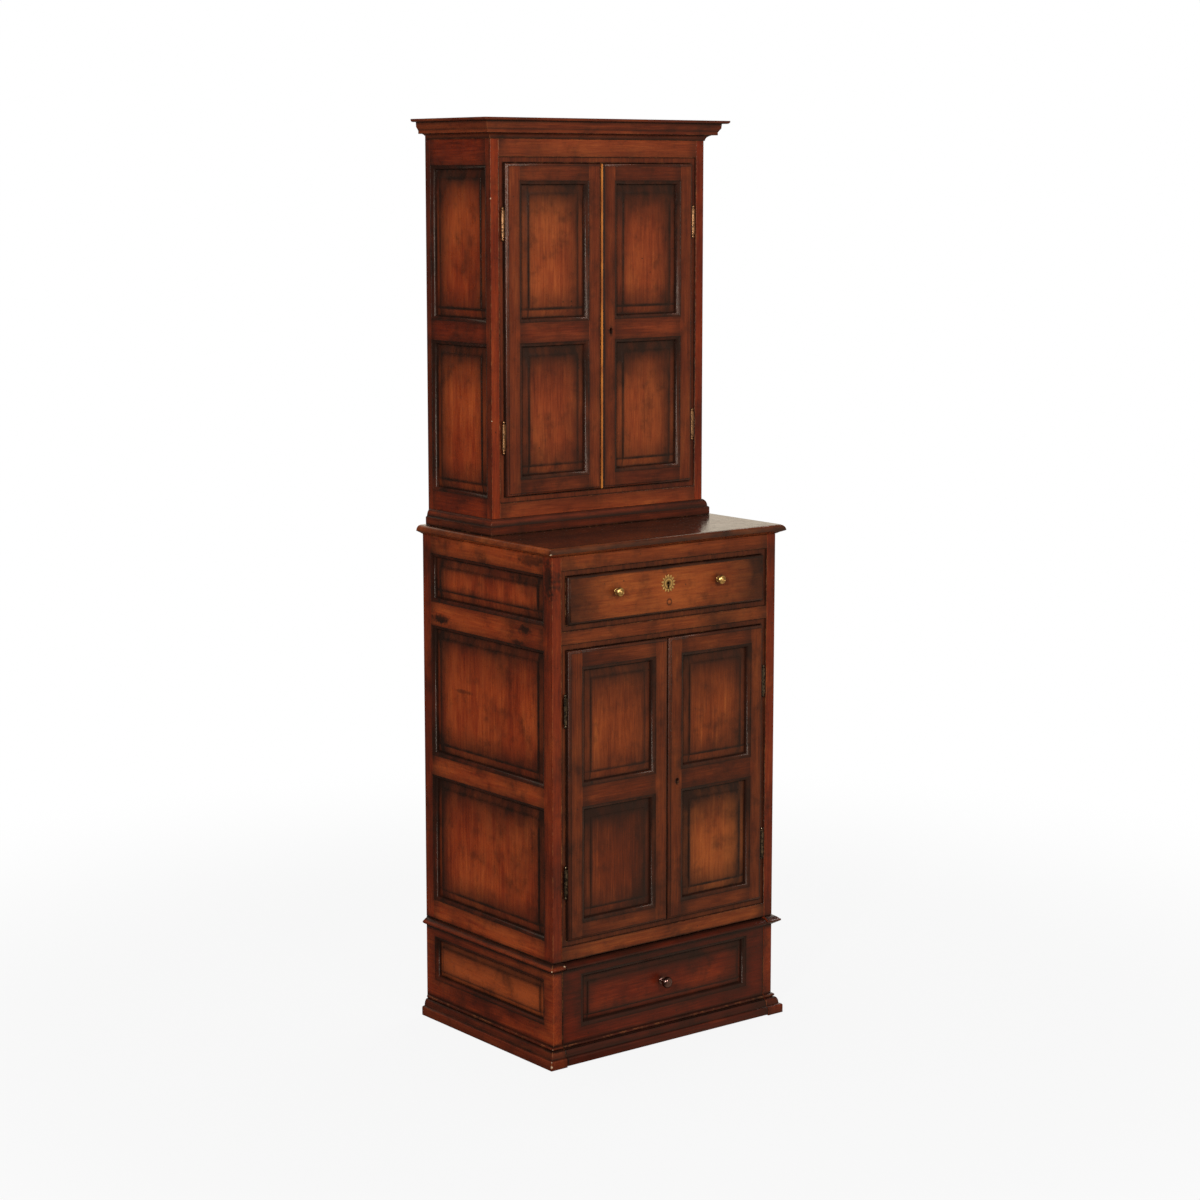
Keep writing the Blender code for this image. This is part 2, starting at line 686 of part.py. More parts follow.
def hinge_heights(rect):
    """Heights of a door's two hinges."""
    return (rect[2] + HINGE_INSET, rect[3] - HINGE_INSET)


def hinge_axis(opening, front, sign):
    """Foot of the pin line of a door."""
    rect = shrink(opening, DOOR_GAP)
    return (sign * (rect[1] + HINGE_OUT), front - PIN_DEPTH, rect[2])


def key_cutter(bm, x, height, front, back):
    """Keyhole: a round hole with a slot below it."""
    half = KEY_SLOT / 2
    start = math.degrees(math.acos(half / KEY_RADIUS))
    outline = arc((x, height), KEY_RADIUS, -start, 180 + start, steps=10)
    outline += [(x - half, height - KEY_DROP), (x + half, height - KEY_DROP)]
    rings = [[(u, y, v) for u, v in outline] for y in (front, back)]
    bands(bm, world, rings)
    for ring in rings:
        add_face(bm, world, ring)


def build_door(prefix, look, lock_look, opening, front, sign, mid):
    """Door frame, its two panels, and the lock of the right-hand door."""
    rect = door_rect(opening, sign)
    axis = hinge_axis(opening, front, sign)
    face_back = front + DOOR_THICK - DOOR_PROUD
    place = front_place(face_back)
    left, right = rect[0] + DOOR_STILE, rect[1] - DOOR_STILE
    windows = [(left, right, rect[2] + DOOR_BOTTOM_RAIL, mid - MID_RAIL / 2)]
    windows.append((left, right, mid + MID_RAIL / 2, rect[3] - DOOR_TOP_RAIL))
    bm = bmesh.new()
    board(bm, place, rect, thumb_edge(DOOR_THICK), windows, grooved_window(DOOR_THICK), [mid], through=True)
    frame = finish(prefix + "_frame", bm, look, axis)
    build_door_panels(prefix, look, place, windows, axis)
    cutters = bmesh.new()
    room = leaf_thickness() / 2 + FIT
    edge = sign * (shrink(opening, DOOR_GAP)[1])
    reach = axis[0] - sign * (LEAF_REACH + FIT)
    for height in hinge_heights(rect):
        low = (min(reach, edge + sign * FIT), axis[1] - room, height)
        high = (max(reach, edge + sign * FIT), axis[1] + room, height + BARREL_LENGTH / 2 + 2 * FIT)
        block(cutters, low, high)
    if sign > 0:
        key_cutter(cutters, rect[0] + KEY_INSET, mid, front - DOOR_PROUD - FIT, face_back + FIT)
        build_lock(prefix, lock_look, rect[0], face_back, mid, axis)
    cut(frame, cutters)


def build_door_panels(prefix, look, place, windows, axis):
    """Two fielded panels that sit loose in the grooves of a door frame."""
    front = groove_front(DOOR_THICK) - FIT
    back = front - PANEL_EDGE
    tongue = GROOVE_FLOOR + TONGUE_PLAY
    for level, window in zip(("bottom", "top"), windows):
        rings = [rect_ring(window, tongue, back), rect_ring(window, tongue, front)]
        rings += [rect_ring(window, inset, depth) for inset, depth in fielded(front, PANEL_BEVEL)]
        bm = bmesh.new()
        bands(bm, place, rings)
        add_face(bm, place, rings[0])
        add_face(bm, place, rings[-1])
        finish(prefix + "_" + level + "_panel", bm, look, axis)


def build_lock(prefix, look, edge, face_back, mid, axis):
    """Lock case on the inside of a door, behind its keyhole."""
    low = (edge + LOCK_EDGE, face_back + FIT, mid - LOCK_HEIGHT / 2)
    high = (edge + LOCK_EDGE + LOCK_WIDTH, face_back + FIT + LOCK_THICK, mid + LOCK_HEIGHT / 2)
    bm = bmesh.new()
    block(bm, low, high)
    lock = finish(prefix + "_lock", bm, look, axis)
    cutter = bmesh.new()
    key_cutter(cutter, edge + KEY_INSET, mid, face_back, face_back + LOCK_THICK / 2)
    cut(lock, cutter)


def ball_tip(radius_end, start, out):
    """Neck and ball at the end of a hinge barrel; out is 1 upward or -1 downward."""
    centre = start + out * (TIP_RADIUS + TIP_NECK / 2)
    neck = math.degrees(math.asin(TIP_NECK / TIP_RADIUS))
    ball = arc((0.0, 0.0), TIP_RADIUS, neck - 90, 90, steps=5)
    points = [(radius_end, start), (TIP_NECK, start)]
    points += [(max(across, 0.0), centre + out * along) for across, along in ball]
    return points


def build_hinge_half(name, look, axis, height, direction, upper):
    """One half of a hinge: barrel with a ball tip, pin or bore, and a leaf along direction."""
    half = BARREL_LENGTH / 2
    if upper:
        bore = PIN_RADIUS + BORE_PLAY
        deep = FIT + PIN_LENGTH + FIT
        profile = [(0.0, deep), (bore, deep), (bore, FIT), (BARREL_RADIUS, FIT)]
        profile += ball_tip(BARREL_RADIUS, half, 1)
    else:
        profile = [(0.0, PIN_LENGTH), (PIN_RADIUS, PIN_LENGTH), (PIN_RADIUS, 0.0), (BARREL_RADIUS, 0.0)]
        profile += ball_tip(BARREL_RADIUS, -half, -1)
    bm = bmesh.new()
    lathe(bm, profile, (axis[0], axis[1], height), (0, 0, 1), HINGE_SIDES)
    bmesh.ops.remove_doubles(bm, verts=bm.verts, dist=WELD)
    pull_leaf(bm, Vector(direction))
    finish(name, bm, look, (axis[0], axis[1], height), round_form=True)


def pull_leaf(bm, direction):
    """Draw the barrel flat that faces direction out into a leaf."""
    bmesh.ops.recalc_face_normals(bm, faces=bm.faces)
    flats = [face for face in bm.faces if face.normal.dot(direction) > 0.999]
    flat = max(flats, key=lambda face: face.calc_area())
    grown = bmesh.ops.extrude_face_region(bm, geom=[flat])
    tips = [part for part in grown["geom"] if isinstance(part, bmesh.types.BMVert)]
    reach = LEAF_REACH - BARREL_RADIUS * math.cos(math.pi / HINGE_SIDES)
    bmesh.ops.translate(bm, verts=tips, vec=direction * reach)
    bmesh.ops.delete(bm, geom=[flat], context="FACES_ONLY")


def build_hinges(prefix, look, opening, front, sign):
    """Two hinges of one door: the lower half on the frame, the upper half on the door."""
    axis = hinge_axis(opening, front, sign)
    heights = hinge_heights(door_rect(opening, sign))
    for level, height in zip(("bottom", "top"), heights):
        name = prefix + "_" + level + "_hinge"
        build_hinge_half(name + "_frame_half", look, axis, height, (0, 1, 0), upper=False)
        build_hinge_half(name + "_door_half", look, axis, height, (-sign, 0, 0), upper=True)


# Drawers

def dovetails(bm, half, front, low, height, count, grow=0.0):
    """Tails on the front ends of both drawer sides; grown, they cut the sockets in the drawer front."""
    base = low + BOTTOM_RAISE + DRAWER_BOTTOM + 2 * FIT
    pitch = (low + height - base) / count
    root = 0.25 * pitch + grow
    tip = root + TAIL_FLARE
    for sign in (-1, 1):
        inner = sign * (half - DRAWER_WALL + FIT - grow)
        outer = sign * (half - FIT + 4 * grow)
        for number in range(count):
            middle = base + (number + 0.5) * pitch
            start, end = front + TAIL_ROOT, front - TAIL_LENGTH - grow
            outline = [(start, middle - root), (end, middle - tip)]
            outline += [(end, middle + tip), (start, middle + root)]
            rings = [[(x, y, z) for y, z in outline] for x in (inner, outer)]
            bands(bm, world, rings)
            for ring in rings:
                add_face(bm, world, ring)


def build_box(prefix, look, half, front, back, low, height, tails, origin):
    """Drawer sides and back in one, grooved for the drawer bottom and dovetailed at the front."""
    groove_low = low + BOTTOM_RAISE
    groove_high = groove_low + DRAWER_BOTTOM + 2 * FIT
    steps = [(DRAWER_WALL, low), (DRAWER_WALL, groove_low), (DRAWER_WALL - BOTTOM_GROOVE, groove_low)]
    steps += [(DRAWER_WALL - BOTTOM_GROOVE, groove_high), (DRAWER_WALL, groove_high)]
    steps.append((DRAWER_WALL, low + height))
    levels = []
    for wall, level in steps:
        inner = half - wall
        outline = [(-half, front), (-inner, front), (-inner, back - wall), (inner, back - wall)]
        outline += [(inner, front), (half, front), (half, back), (-half, back)]
        levels.append((outline, level))
    bm = bmesh.new()
    stack(bm, levels)
    box = finish(prefix + "_box", bm, look, origin)
    bm = bmesh.new()
    dovetails(bm, half, front, low, height, tails)
    combine(box, bm, "UNION")
    reach = half - DRAWER_WALL + BOTTOM_GROOVE - TONGUE_PLAY
    tail = back - DRAWER_WALL + BOTTOM_GROOVE - TONGUE_PLAY
    bm = bmesh.new()
    block(bm, (-reach, front, groove_low + FIT), (reach, tail, groove_low + FIT + DRAWER_BOTTOM))
    finish(prefix + "_bottom", bm, look, origin)


def knob_profile(radius, out):
    """Turned knob with a foot, a neck and a low domed head, from the spigot's end to the face."""
    head = arc((0.62 * radius, 0.78 * out), 0.38 * radius, -80, 60, squash=0.22 * out / (0.38 * radius))
    profile = [(0.0, -SPIGOT_LENGTH), (SPIGOT_RADIUS, -SPIGOT_LENGTH), (SPIGOT_RADIUS, FIT)]
    profile += [(0.62 * radius, FIT), (0.62 * radius, 0.10 * out), (0.36 * radius, 0.22 * out)]
    profile += [(0.36 * radius, 0.46 * out), *head, (0.30 * radius, 0.995 * out), (0.0, out)]
    return profile


def build_knob(name, look, centre, radius, out):
    """Knob on a drawer front, its spigot in a hole."""
    bm = bmesh.new()
    lathe(bm, knob_profile(radius, out), centre, (0, -1, 0), LATHE_SIDES)
    finish(name, bm, look, centre, round_form=True)


def spigot_hole(bm, centre):
    """Hole in a drawer front for a knob's spigot."""
    room = SPIGOT_RADIUS + BORE_PLAY
    profile = [(0.0, -SPIGOT_LENGTH - FIT), (room, -SPIGOT_LENGTH - FIT), (room, FIT), (0.0, FIT)]
    lathe(bm, profile, centre, (0, -1, 0), LATHE_SIDES)


def build_top_drawer(wood, plain, brass):
    """Top drawer: moulded front with two knobs and a scalloped keyhole shield, and its box."""
    rect = shrink(DRAWER_OPENING, DOOR_GAP)
    face = LOWER_FRONT - DOOR_PROUD
    back_face = face + FRONT_THICK
    middle = (rect[2] + rect[3]) / 2
    origin = (0.0, LOWER_FRONT, middle)
    bm = bmesh.new()
    board(bm, front_place(back_face), rect, thumb_edge(FRONT_THICK))
    front = finish("top_drawer_front", bm, wood, origin)
    cutters = bmesh.new()
    for side, sign in (("left", -1), ("right", 1)):
        centre = (FITTINGS_X + sign * KNOB_SPACING / 2, face, middle + KNOB_LIFT)
        build_knob("top_drawer_" + side + "_knob", brass, centre, KNOB_RADIUS, KNOB_OUT)
        spigot_hole(cutters, centre)
    key_height = middle + SHIELD_LIFT
    key_cutter(cutters, FITTINGS_X, key_height, face - FIT, back_face + FIT)
    half = rect[1] - SIDE_PLAY
    low = DRAWER_OPENING[2] + RUNNING_GAP
    box_front = back_face + FIT
    dovetails(cutters, half, box_front, low, TOP_BOX_HEIGHT, TOP_TAILS, grow=FIT)
    cut(front, cutters)
    build_shield(brass, face, key_height, origin)
    box_back = BACK - BACK_THICK - FIT - BOX_BACK_GAP
    build_box("top_drawer", plain, half, box_front, box_back, low, TOP_BOX_HEIGHT, TOP_TAILS, origin)


def build_shield(look, face, height, origin):
    """Round keyhole shield: a ring of petals with a raised middle."""
    points = 6 * SHIELD_PETALS
    core = SHIELD_RADIUS - SHIELD_NOTCH
    outlines = []
    for depth, reach, petal in ((0.0, core, 1.0), (0.5, core, 1.0), (0.7, core, 0.5), (0.7, 0.8 * core, 0.0),
                                (1.0, 0.7 * core, 0.0)):
        ring = []
        for step in range(points):
            angle = 2 * math.pi * step / points
            radius = reach + petal * SHIELD_NOTCH * abs(math.sin(SHIELD_PETALS * angle / 2))
            across = FITTINGS_X + radius * math.cos(angle)
            ring.append((across, height + radius * math.sin(angle), depth * SHIELD_THICK))
        outlines.append(ring)
    bm = bmesh.new()
    place = front_place(face - FIT)
    bands(bm, place, outlines)
    add_face(bm, place, outlines[0])
    add_face(bm, place, outlines[-1])
    shield = finish("top_drawer_keyhole_shield", bm, look, origin)
    cutter = bmesh.new()
    key_cutter(cutter, FITTINGS_X, height, face - SHIELD_THICK - 2 * FIT, face + FIT)
    cut(shield, cutter)


def build_plinth_drawer(wood, plain, dark):
    """Hidden drawer: its front carries the mouldings of the plinth across."""
    half = SEAM - DOOR_GAP
    top = PLINTH_HEIGHT - HEAD_GAP
    back_face = LOWER_FRONT + FRONT_THICK
    profile = [*base_profile(FLOOR_GAP)]
    panel_level = len(profile) - 1
    profile += nose_profile(top)
    levels = []
    for proud, height in profile:
        lead = LOWER_FRONT - proud
        levels.append(([(-half, lead), (half, lead), (half, back_face), (-half, back_face)], height))
    bm = bmesh.new()
    stack(bm, levels, skip={(panel_level, 0)})
    cell = (-half, half, BASE_HEIGHT, NOSE_LOW)
    window = (-half + PLINTH_PANEL_EDGE, half - PLINTH_PANEL_EDGE, BASE_HEIGHT + PLINTH_PANEL_LOW,
              NOSE_LOW - PLINTH_PANEL_HIGH)
    add_panel(bm, front_place(LOWER_FRONT), cell, window, PLINTH_BEVEL)
    origin = (0.0, LOWER_FRONT, (window[2] + window[3]) / 2)
    front = finish("plinth_drawer_front", bm, wood, origin)
    centre = (TURNED_KNOB_X, LOWER_FRONT + FIELD_DEPTH, origin[2])
    build_knob("plinth_drawer_knob", dark, centre, TURNED_KNOB_RADIUS, TURNED_KNOB_OUT)
    box_half = half - SIDE_PLAY
    low = BASE_HEIGHT + RUNNING_GAP
    box_front = back_face + FIT
    cutters = bmesh.new()
    spigot_hole(cutters, centre)
    dovetails(cutters, box_half, box_front, low, PLINTH_BOX_HEIGHT, PLINTH_TAILS, grow=FIT)
    cut(front, cutters)
    box_back = BACK - BOARD_THICK - FIT - BOX_BACK_GAP
    build_box("plinth_drawer", plain, box_half, box_front, box_back, low,
              PLINTH_BOX_HEIGHT, PLINTH_TAILS, origin)


def main():
    """Build the whole cupboard."""
    for item in list(bpy.data.objects):
        bpy.data.objects.remove(item, do_unlink=True)
    upper_wood = make_material("upper_wood", (0.15, 0.045, 0.022), 0.45)
    lower_wood = make_material("lower_wood", (0.17, 0.060, 0.025), 0.42)
    plain_wood = make_material("inner_wood", (0.30, 0.17, 0.085), 0.70)
    brass = make_material("brass", (0.62, 0.42, 0.16), 0.32, metallic=1.0)
    bronze = make_material("dark_bronze", (0.10, 0.065, 0.04), 0.40, metallic=1.0)
    iron = make_material("iron", (0.14, 0.13, 0.12), 0.55, metallic=1.0)
    build_upper_case(upper_wood, plain_wood)
    build_lower_case(lower_wood, plain_wood)
    build_plinth(lower_wood, plain_wood)
    cases = (("upper", upper_wood, UPPER_OPENING, UPPER_FRONT, UPPER_MID),
             ("lower", lower_wood, LOWER_OPENING, LOWER_FRONT, LOWER_MID))
    for case, wood, opening, front, mid in cases:
        for side, sign in (("left", -1), ("right", 1)):
            build_door(case + "_" + side + "_door", wood, iron, opening, front, sign, mid)
            build_hinges(case + "_" + side, brass, opening, front, sign)
    build_top_drawer(lower_wood, plain_wood, brass)
    build_plinth_drawer(lower_wood, plain_wood, bronze)


main()
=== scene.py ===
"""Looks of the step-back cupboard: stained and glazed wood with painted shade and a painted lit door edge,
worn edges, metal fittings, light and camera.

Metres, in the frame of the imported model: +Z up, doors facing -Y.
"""

import json
import math
from dataclasses import dataclass

import bmesh
import bpy
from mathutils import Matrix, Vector


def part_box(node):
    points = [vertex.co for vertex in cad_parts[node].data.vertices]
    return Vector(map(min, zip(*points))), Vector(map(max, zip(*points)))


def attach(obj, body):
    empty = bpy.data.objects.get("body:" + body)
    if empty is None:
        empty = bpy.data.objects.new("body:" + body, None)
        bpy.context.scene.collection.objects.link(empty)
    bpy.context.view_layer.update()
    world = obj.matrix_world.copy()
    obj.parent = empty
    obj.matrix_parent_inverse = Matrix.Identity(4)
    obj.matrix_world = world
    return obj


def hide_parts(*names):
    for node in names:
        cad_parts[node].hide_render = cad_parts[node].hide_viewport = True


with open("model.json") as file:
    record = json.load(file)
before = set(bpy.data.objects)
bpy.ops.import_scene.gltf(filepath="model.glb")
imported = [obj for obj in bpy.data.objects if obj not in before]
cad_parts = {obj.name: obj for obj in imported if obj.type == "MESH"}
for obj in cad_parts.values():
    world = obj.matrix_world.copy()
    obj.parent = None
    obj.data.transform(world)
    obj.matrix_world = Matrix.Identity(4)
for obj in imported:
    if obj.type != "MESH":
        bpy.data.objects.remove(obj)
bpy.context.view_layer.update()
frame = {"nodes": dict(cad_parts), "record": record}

RECORD = frame["record"]
BODY = {node: body for body, nodes in RECORD["behaviour"]["bodies"].items() for node in nodes}
SLOT = {part["node"]: part["material_slot"] for part in RECORD["subparts"]}
CASES = ("upper", "lower")
HANDS = ("left", "right")
JOINTS = {joint["name"]: joint for joint in RECORD["behaviour"]["joints"]}
PLINTH_NODES = ("plinth_left", "plinth_right", "plinth_drawer_front")
INNER_NODES = [node for node, slot in SLOT.items() if slot == "inner_wood"]

# Camera for a square picture
CAMERA_PLACE = (-3.4668, -4.4298, 1.8353)
CAMERA_TURN = 37.987  # degrees to the right of straight ahead
CAMERA_DIP = 8.481  # degrees below the horizon
CAMERA_LENS = 78.715
CAMERA_SENSOR = 36.0
CAMERA_SHIFT = -0.025

# Stage and light
FLOOR_RADIUS = 12.0
FLOOR_DROP = 0.0005
FLOOR_COLOUR = (0.30, 0.297, 0.294)
FLOOR_GLOW = 0.90  # share of plain white in the near floor, as the camera sees it
FLOOR_FADE = (1.0, 2.6)  # the floor turns into the white backdrop between these distances
SKY_LEVEL = 0.42  # even light from all round
SKY_MIRROR = 0.08  # what gloss sees away from the backdrop
SKY_EDGE = (0.45, 0.85)  # cosines between which gloss meets the pale backdrop
FRONT_MIRROR = 0.46  # what gloss sees to the right of the camera
FRONT_EDGE = (0.30, 0.80)  # cosines between which gloss meets that side
GLOSS_TINT = (1.0, 0.87, 0.70)
AIM = (0.0, 0.0, 1.0)
SOFTBOXES = (("left_softbox", (-3.9, -3.0, 2.5), (0.5, 1.8), 158),
             ("front_softbox", (-0.6, -4.4, 2.9), (0.9, 1.1), 78),
             ("top_softbox", (0.0, 0.4, 4.2), (1.0, 1.0), 60),
             ("back_softbox", (3.8, 1.5, 2.5), (2.0, 2.0), 70))

# Sizes of the model that the finish follows
MOULDING = 0.0085  # moulding round every panel
DOOR_BEVEL = 0.018  # bevel of the panels in doors and case sides
PLINTH_BEVEL = 0.0125
TONGUE = 0.0015  # a loose panel stops this far inside the moulding's outer line
STRIP = 0.013  # sunk strip round doors and drawer, with the gap
MID_RAIL = 0.044
# Stile, foot rail and head rail round the panels of the case sides, plinth sides and plinth drawer
SIDE_FRAME = {"upper": (0.0175, 0.0755, 0.072), "lower": (0.030, 0.044, 0.039)}
PLINTH_FRAME = (0.033, 0.0405, 0.0195)
PLINTH_FRONT_FRAME = (0.050, 0.030, 0.014)
SIDE_DIVIDER = 0.053
BASE_TOP = 0.044
NOSE_HEIGHT = 0.0205
KEY_INSET = 0.023  # door keyhole from the meeting edge
KEY_FALL = 0.003  # middle of a keyhole below the middle of its lock
PLUG = (0.0, 0.9555, 0.0060, 0.0032)  # plugged hole in the drawer front: x, z, radius, line
# Reaches and strength of the painted shade of the door keyholes, of the painted shade under the shield that
# shows between its petals, and of the knob halos of dirt and painted shadow
KEY_DARK = (0.008, 0.013, 0.97)
SHIELD_DARK = (0.017, 0.022, 0.98)
KNOB_DARK = (0.020, 0.020, 0.5)
# Painted light on the meeting edge of one door, standing in for the lit side of a door that stands ajar, with
# a painted shadow line beside it
LIT_EDGE_DOOR = "upper_right_door"
LIT_EDGE_WIDTH = 0.0026  # its width
LIT_EDGE_DULL = 0.005  # dull band beside it
LIT_EDGE_SHADOW = 0.0014  # from its inner end to the painted shadow line
LIT_EDGE_CLEAR = 0.85  # share of the glaze and painted shade left off the painted light
LIT_EDGE_ROUGH = 0.4  # added roughness
LIT_EDGE_RANGE = (0.25, 0.75)  # least and most painted light

# Fittings
FIT = 0.0003  # between pieces that touch
SPIGOT_RADIUS = 0.003
SPIGOT_LENGTH = 0.010
BARREL_RADIUS = 0.0042
BARREL_LENGTH = 0.056
BARREL_SOFT = 0.0005  # softened ends
COLLAR = (0.0040, 0.0036, 0.0030, 0.0026)  # groove under the collar, from the barrel's end
PIN_RADIUS = 0.0017
PIN_LENGTH = 0.020
TIP_RADIUS = 0.0034
TIP_NECK = 0.0022
LEAF_START = 0.002
LEAF_REACH = 0.018
LEAF_THICK = 0.0021
LATHE_SIDES = 40
SHIELD_PETALS = 14
SHIELD_POINTS = SHIELD_PETALS * 16
SHIELD_ROOT = 0.66  # depth of the gaps between petals, as a share of the shield's radius
KEY_ROUND = 0.0044  # keyhole in the shield: radius of its round part
KEY_SLOT = 0.0027  # half the width of its slot
KEY_DROP = 0.0110
# Dark rings as shares of the radius: place and half width
KNOB_RINGS = ((0.50, 0.12), (1.05, 0.16))
SHIELD_RINGS = ((0.60, 0.10), (0.30, 0.10))
# Rings of the shield from its keyhole outward: kind, size and share of the thickness
SHIELD_PLATE = (("key", 0.0, 0.0), ("key", 0.0, 0.80), ("key", 0.0006, 0.92), ("round", 0.50, 1.0),
                ("round", 0.58, 0.92), ("round", 0.61, 0.55), ("round", 0.65, 0.55), ("petal", 0.80, 0.82),
                ("petal", 0.94, 0.70), ("petal", 1.0, 0.45), ("petal", 1.0, 0.0), ("key", 0.0, 0.0))
SHIELD_RIM = 0.0004  # least metal round the keyhole
ROOT_EARLY = 0.04  # the gaps are at their depth this share inside the rim
PETAL_POWER = 1.2  # roundness of the petals

# Rounded edges
EDGE_ROUND = 0.0009  # worn roundness of a sharp wooden edge
FINE_ROUND = 0.0003  # the same on metal
ROUND_FROM = math.radians(35)
SMOOTH_BELOW = math.radians(32)
WELD = 1e-5
FLAT = math.radians(0.5)
EDGE_ROOM, FACE_ROOM = 4, 2.5  # least length of a rounded edge and width of its faces, by the rounding
TINY = 1e-6

# Colours and varnish
UPPER_STAIN = ((0.0, (0.044, 0.008, 0.004)), (0.35, (0.115, 0.017, 0.006)),
               (0.62, (0.208, 0.036, 0.010)), (1.0, (0.350, 0.079, 0.019)))
LOWER_STAIN = ((0.0, (0.040, 0.008, 0.004)), (0.35, (0.110, 0.018, 0.005)),
               (0.62, (0.205, 0.039, 0.009)), (1.0, (0.350, 0.086, 0.018)))
SIDE_STAIN = ((0.0, (0.042, 0.007, 0.003)), (0.35, (0.114, 0.012, 0.004)),
              (0.62, (0.210, 0.026, 0.006)), (1.0, (0.360, 0.068, 0.014)))
INNER_STAIN = ((0.0, (0.085, 0.038, 0.016)), (0.35, (0.175, 0.082, 0.035)),
               (0.62, (0.265, 0.138, 0.062)), (1.0, (0.360, 0.210, 0.105)))
# Colour of the dark glaze, which also paints shade in recesses, gaps and along panel edges
GLAZE_AND_SHADE = (0.018, 0.0068, 0.0044)
WORN_EDGE = (0.250, 0.085, 0.026)
BARE_WOOD = (0.480, 0.330, 0.200)
# painted light of one door's meeting edge
LIT_EDGE_COLOUR = (0.560, 0.190, 0.030)
SPECK = (0.012, 0.006, 0.004)
VARNISH_TINT = (1.0, 0.86, 0.72)
WOOD_GLOSS = 0.38  # roughness of the varnish
SLAB_GLOSS = 0.22
INNER_GLOSS = 0.66
WOOD_SPECULAR = 0.23
SLAB_SPECULAR = 0.45
THICK_LUMPS = 0.9  # unevenness of the varnish where the glaze and painted shade are dark

# Metals: clean colour, tarnish, roughness and share of dirt
BRASS = ((0.70, 0.43, 0.15), (0.11, 0.058, 0.020))
KNOB_BRASS = (*BRASS, 0.34, 0.06)
SHIELD_BRASS = (*BRASS, 0.50, 0.0)
DULL_BRASS = ((0.30, 0.150, 0.068), (0.06, 0.032, 0.018), 0.38, 0.12)
DARK_BRASS = ((0.20, 0.14, 0.085), (0.02, 0.014, 0.010), 0.28, 0.22)
DARK_PATINA = ((0.160, 0.085, 0.070), (0.06, 0.030, 0.025), 0.22, 0.0)
AGED_IRON = ((0.16, 0.15, 0.14), (0.06, 0.04, 0.03), 0.5, 0.1)
TARNISH_EDGE = (0.62, 0.82)
TARNISH_ROUGH = 0.25
METAL_GRIT = (0.5, 0.2)  # its part in the tarnish and in the roughness
METAL_BUMP = {"Strength": 0.35, "Distance": 0.0002}

# Noise of the grain: stretch along it, scale, detail, roughness, distortion and weight in the tone
GRAIN_LAYERS = ((0.05, 190, 3, 0.65, 0.4, 0.46), (0.05, 330, 3, 0.6, 0.0, 0.62),
                (0.16, 26, 4, 0.6, 1.2, 0.50), (0.6, 9, 3, 0.55, 0.0, 0.78))
# Other noise: scale, detail and roughness
SKIN_NOISE, WAVE_NOISE, LUMP_NOISE = (230, 3, 0.55), (14, 1), (55, 3, 0.6)
UNEVEN_NOISE, RUB_NOISE, CHIP_NOISE = (34, 3, 0.6), (55, 3, 0.65), (420, 3, 0.65)
PORE_NOISE, TICK_NOISE, BLOT_NOISE = (950, 1), (250, 2, 0.6), (110, 3, 0.65)
DRIFT_NOISE, FADE_NOISE = (9, 3, 0.6), (14, 3, 0.6)
PATCH_NOISE, GRIT_NOISE = (160, 4, 0.65), (900, 2, 0.6)
PORE_RUN, TICK_RUN, UNEVEN_RUN = 0.045, 0.12, 0.5  # stretch along the grain
PORE_EDGE, TICK_EDGE = (0.60, 0.74), (0.735, 0.79)  # levels between which a mark sets in
# the last of these spreads the painted light along one door edge
RUB_EDGE, CHIP_EDGE, LIT_EDGE_LEVELS = (0.46, 0.66), (0.42, 0.60), (0.35, 0.62)
PORE_DARK, RUB_WORN, SPECK_DARK = 0.35, 0.5, 0.7  # strengths
UNEVEN, CHIP_RAGGED, BLOT_RAGGED, FADE_RAGGED = 0.6, 0.9, 1.3, 0.7  # weights of the noise in them
SPECK_SCALE, SPECK_CHANCE, SPECK_SIZE = 46, 0.60, 0.095
ROUGH_SKIN, ROUGH_PORE, ROUGH_LUMP, ROUGH_CHIP = 0.16, 0.14, 0.34, 0.35
BUMP_SKIN, BUMP_WAVE, BUMP_PORE, BUMP_SPECK, BUMP_CHIP = 0.6, 2.5, -0.22, -0.6, -1.4
WOOD_BUMP = {"Strength": 0.5, "Distance": 0.0004}
SEED_STEP = (1.37, 0.71, 2.13)  # shift of the grain from piece to piece

# Tones, where 0 is the dark and 1 the light end of a stain
INNER_TONE = 0.40
DOOR_TONE = {"upper": 0.56, "lower": 0.52}
DOOR_RAIL_TONE = -0.10  # changes on rails and panels
FACE_TONE, FACE_RAIL_TONE = 0.54, 0.08
SIDE_TONES = {"upper": {"tone": 0.52, "rail_tone": -0.14, "panel_tone": 0.24},
              "lower": {"tone": 0.54, "rail_tone": 0.24, "panel_tone": 0.18}}
CORNICE_TONE, FOOT_TONE, SLAB_TONE, DRAWER_TONE = 0.54, 0.30, 0.66, 0.72
PLINTH_TONES = {"tone": 0.60, "panel_tone": 0.44}
PLINTH_FRONT_TONES = {"tone": 0.25, "panel_tone": 0.22}
# Strengths of the painted shade and glaze along the edges of panels: left, right, foot and head
EVEN_SHADE = (1.0, 1.0, 1.0, 1.0)
PLINTH_SHADE = (0.5, 0.6, 0.6, 0.8)
SIDE_SHADES = {
    "upper": [(1.1, 1.2, 1.1, 1.0), (1.1, 1.2, 1.1, 1.1)],
    "lower": [(1.4, 1.3, 1.3, 1.0), (1.4, 1.3, 1.3, 0.95), (1.4, 1.3, 1.1, 0.70)],
}
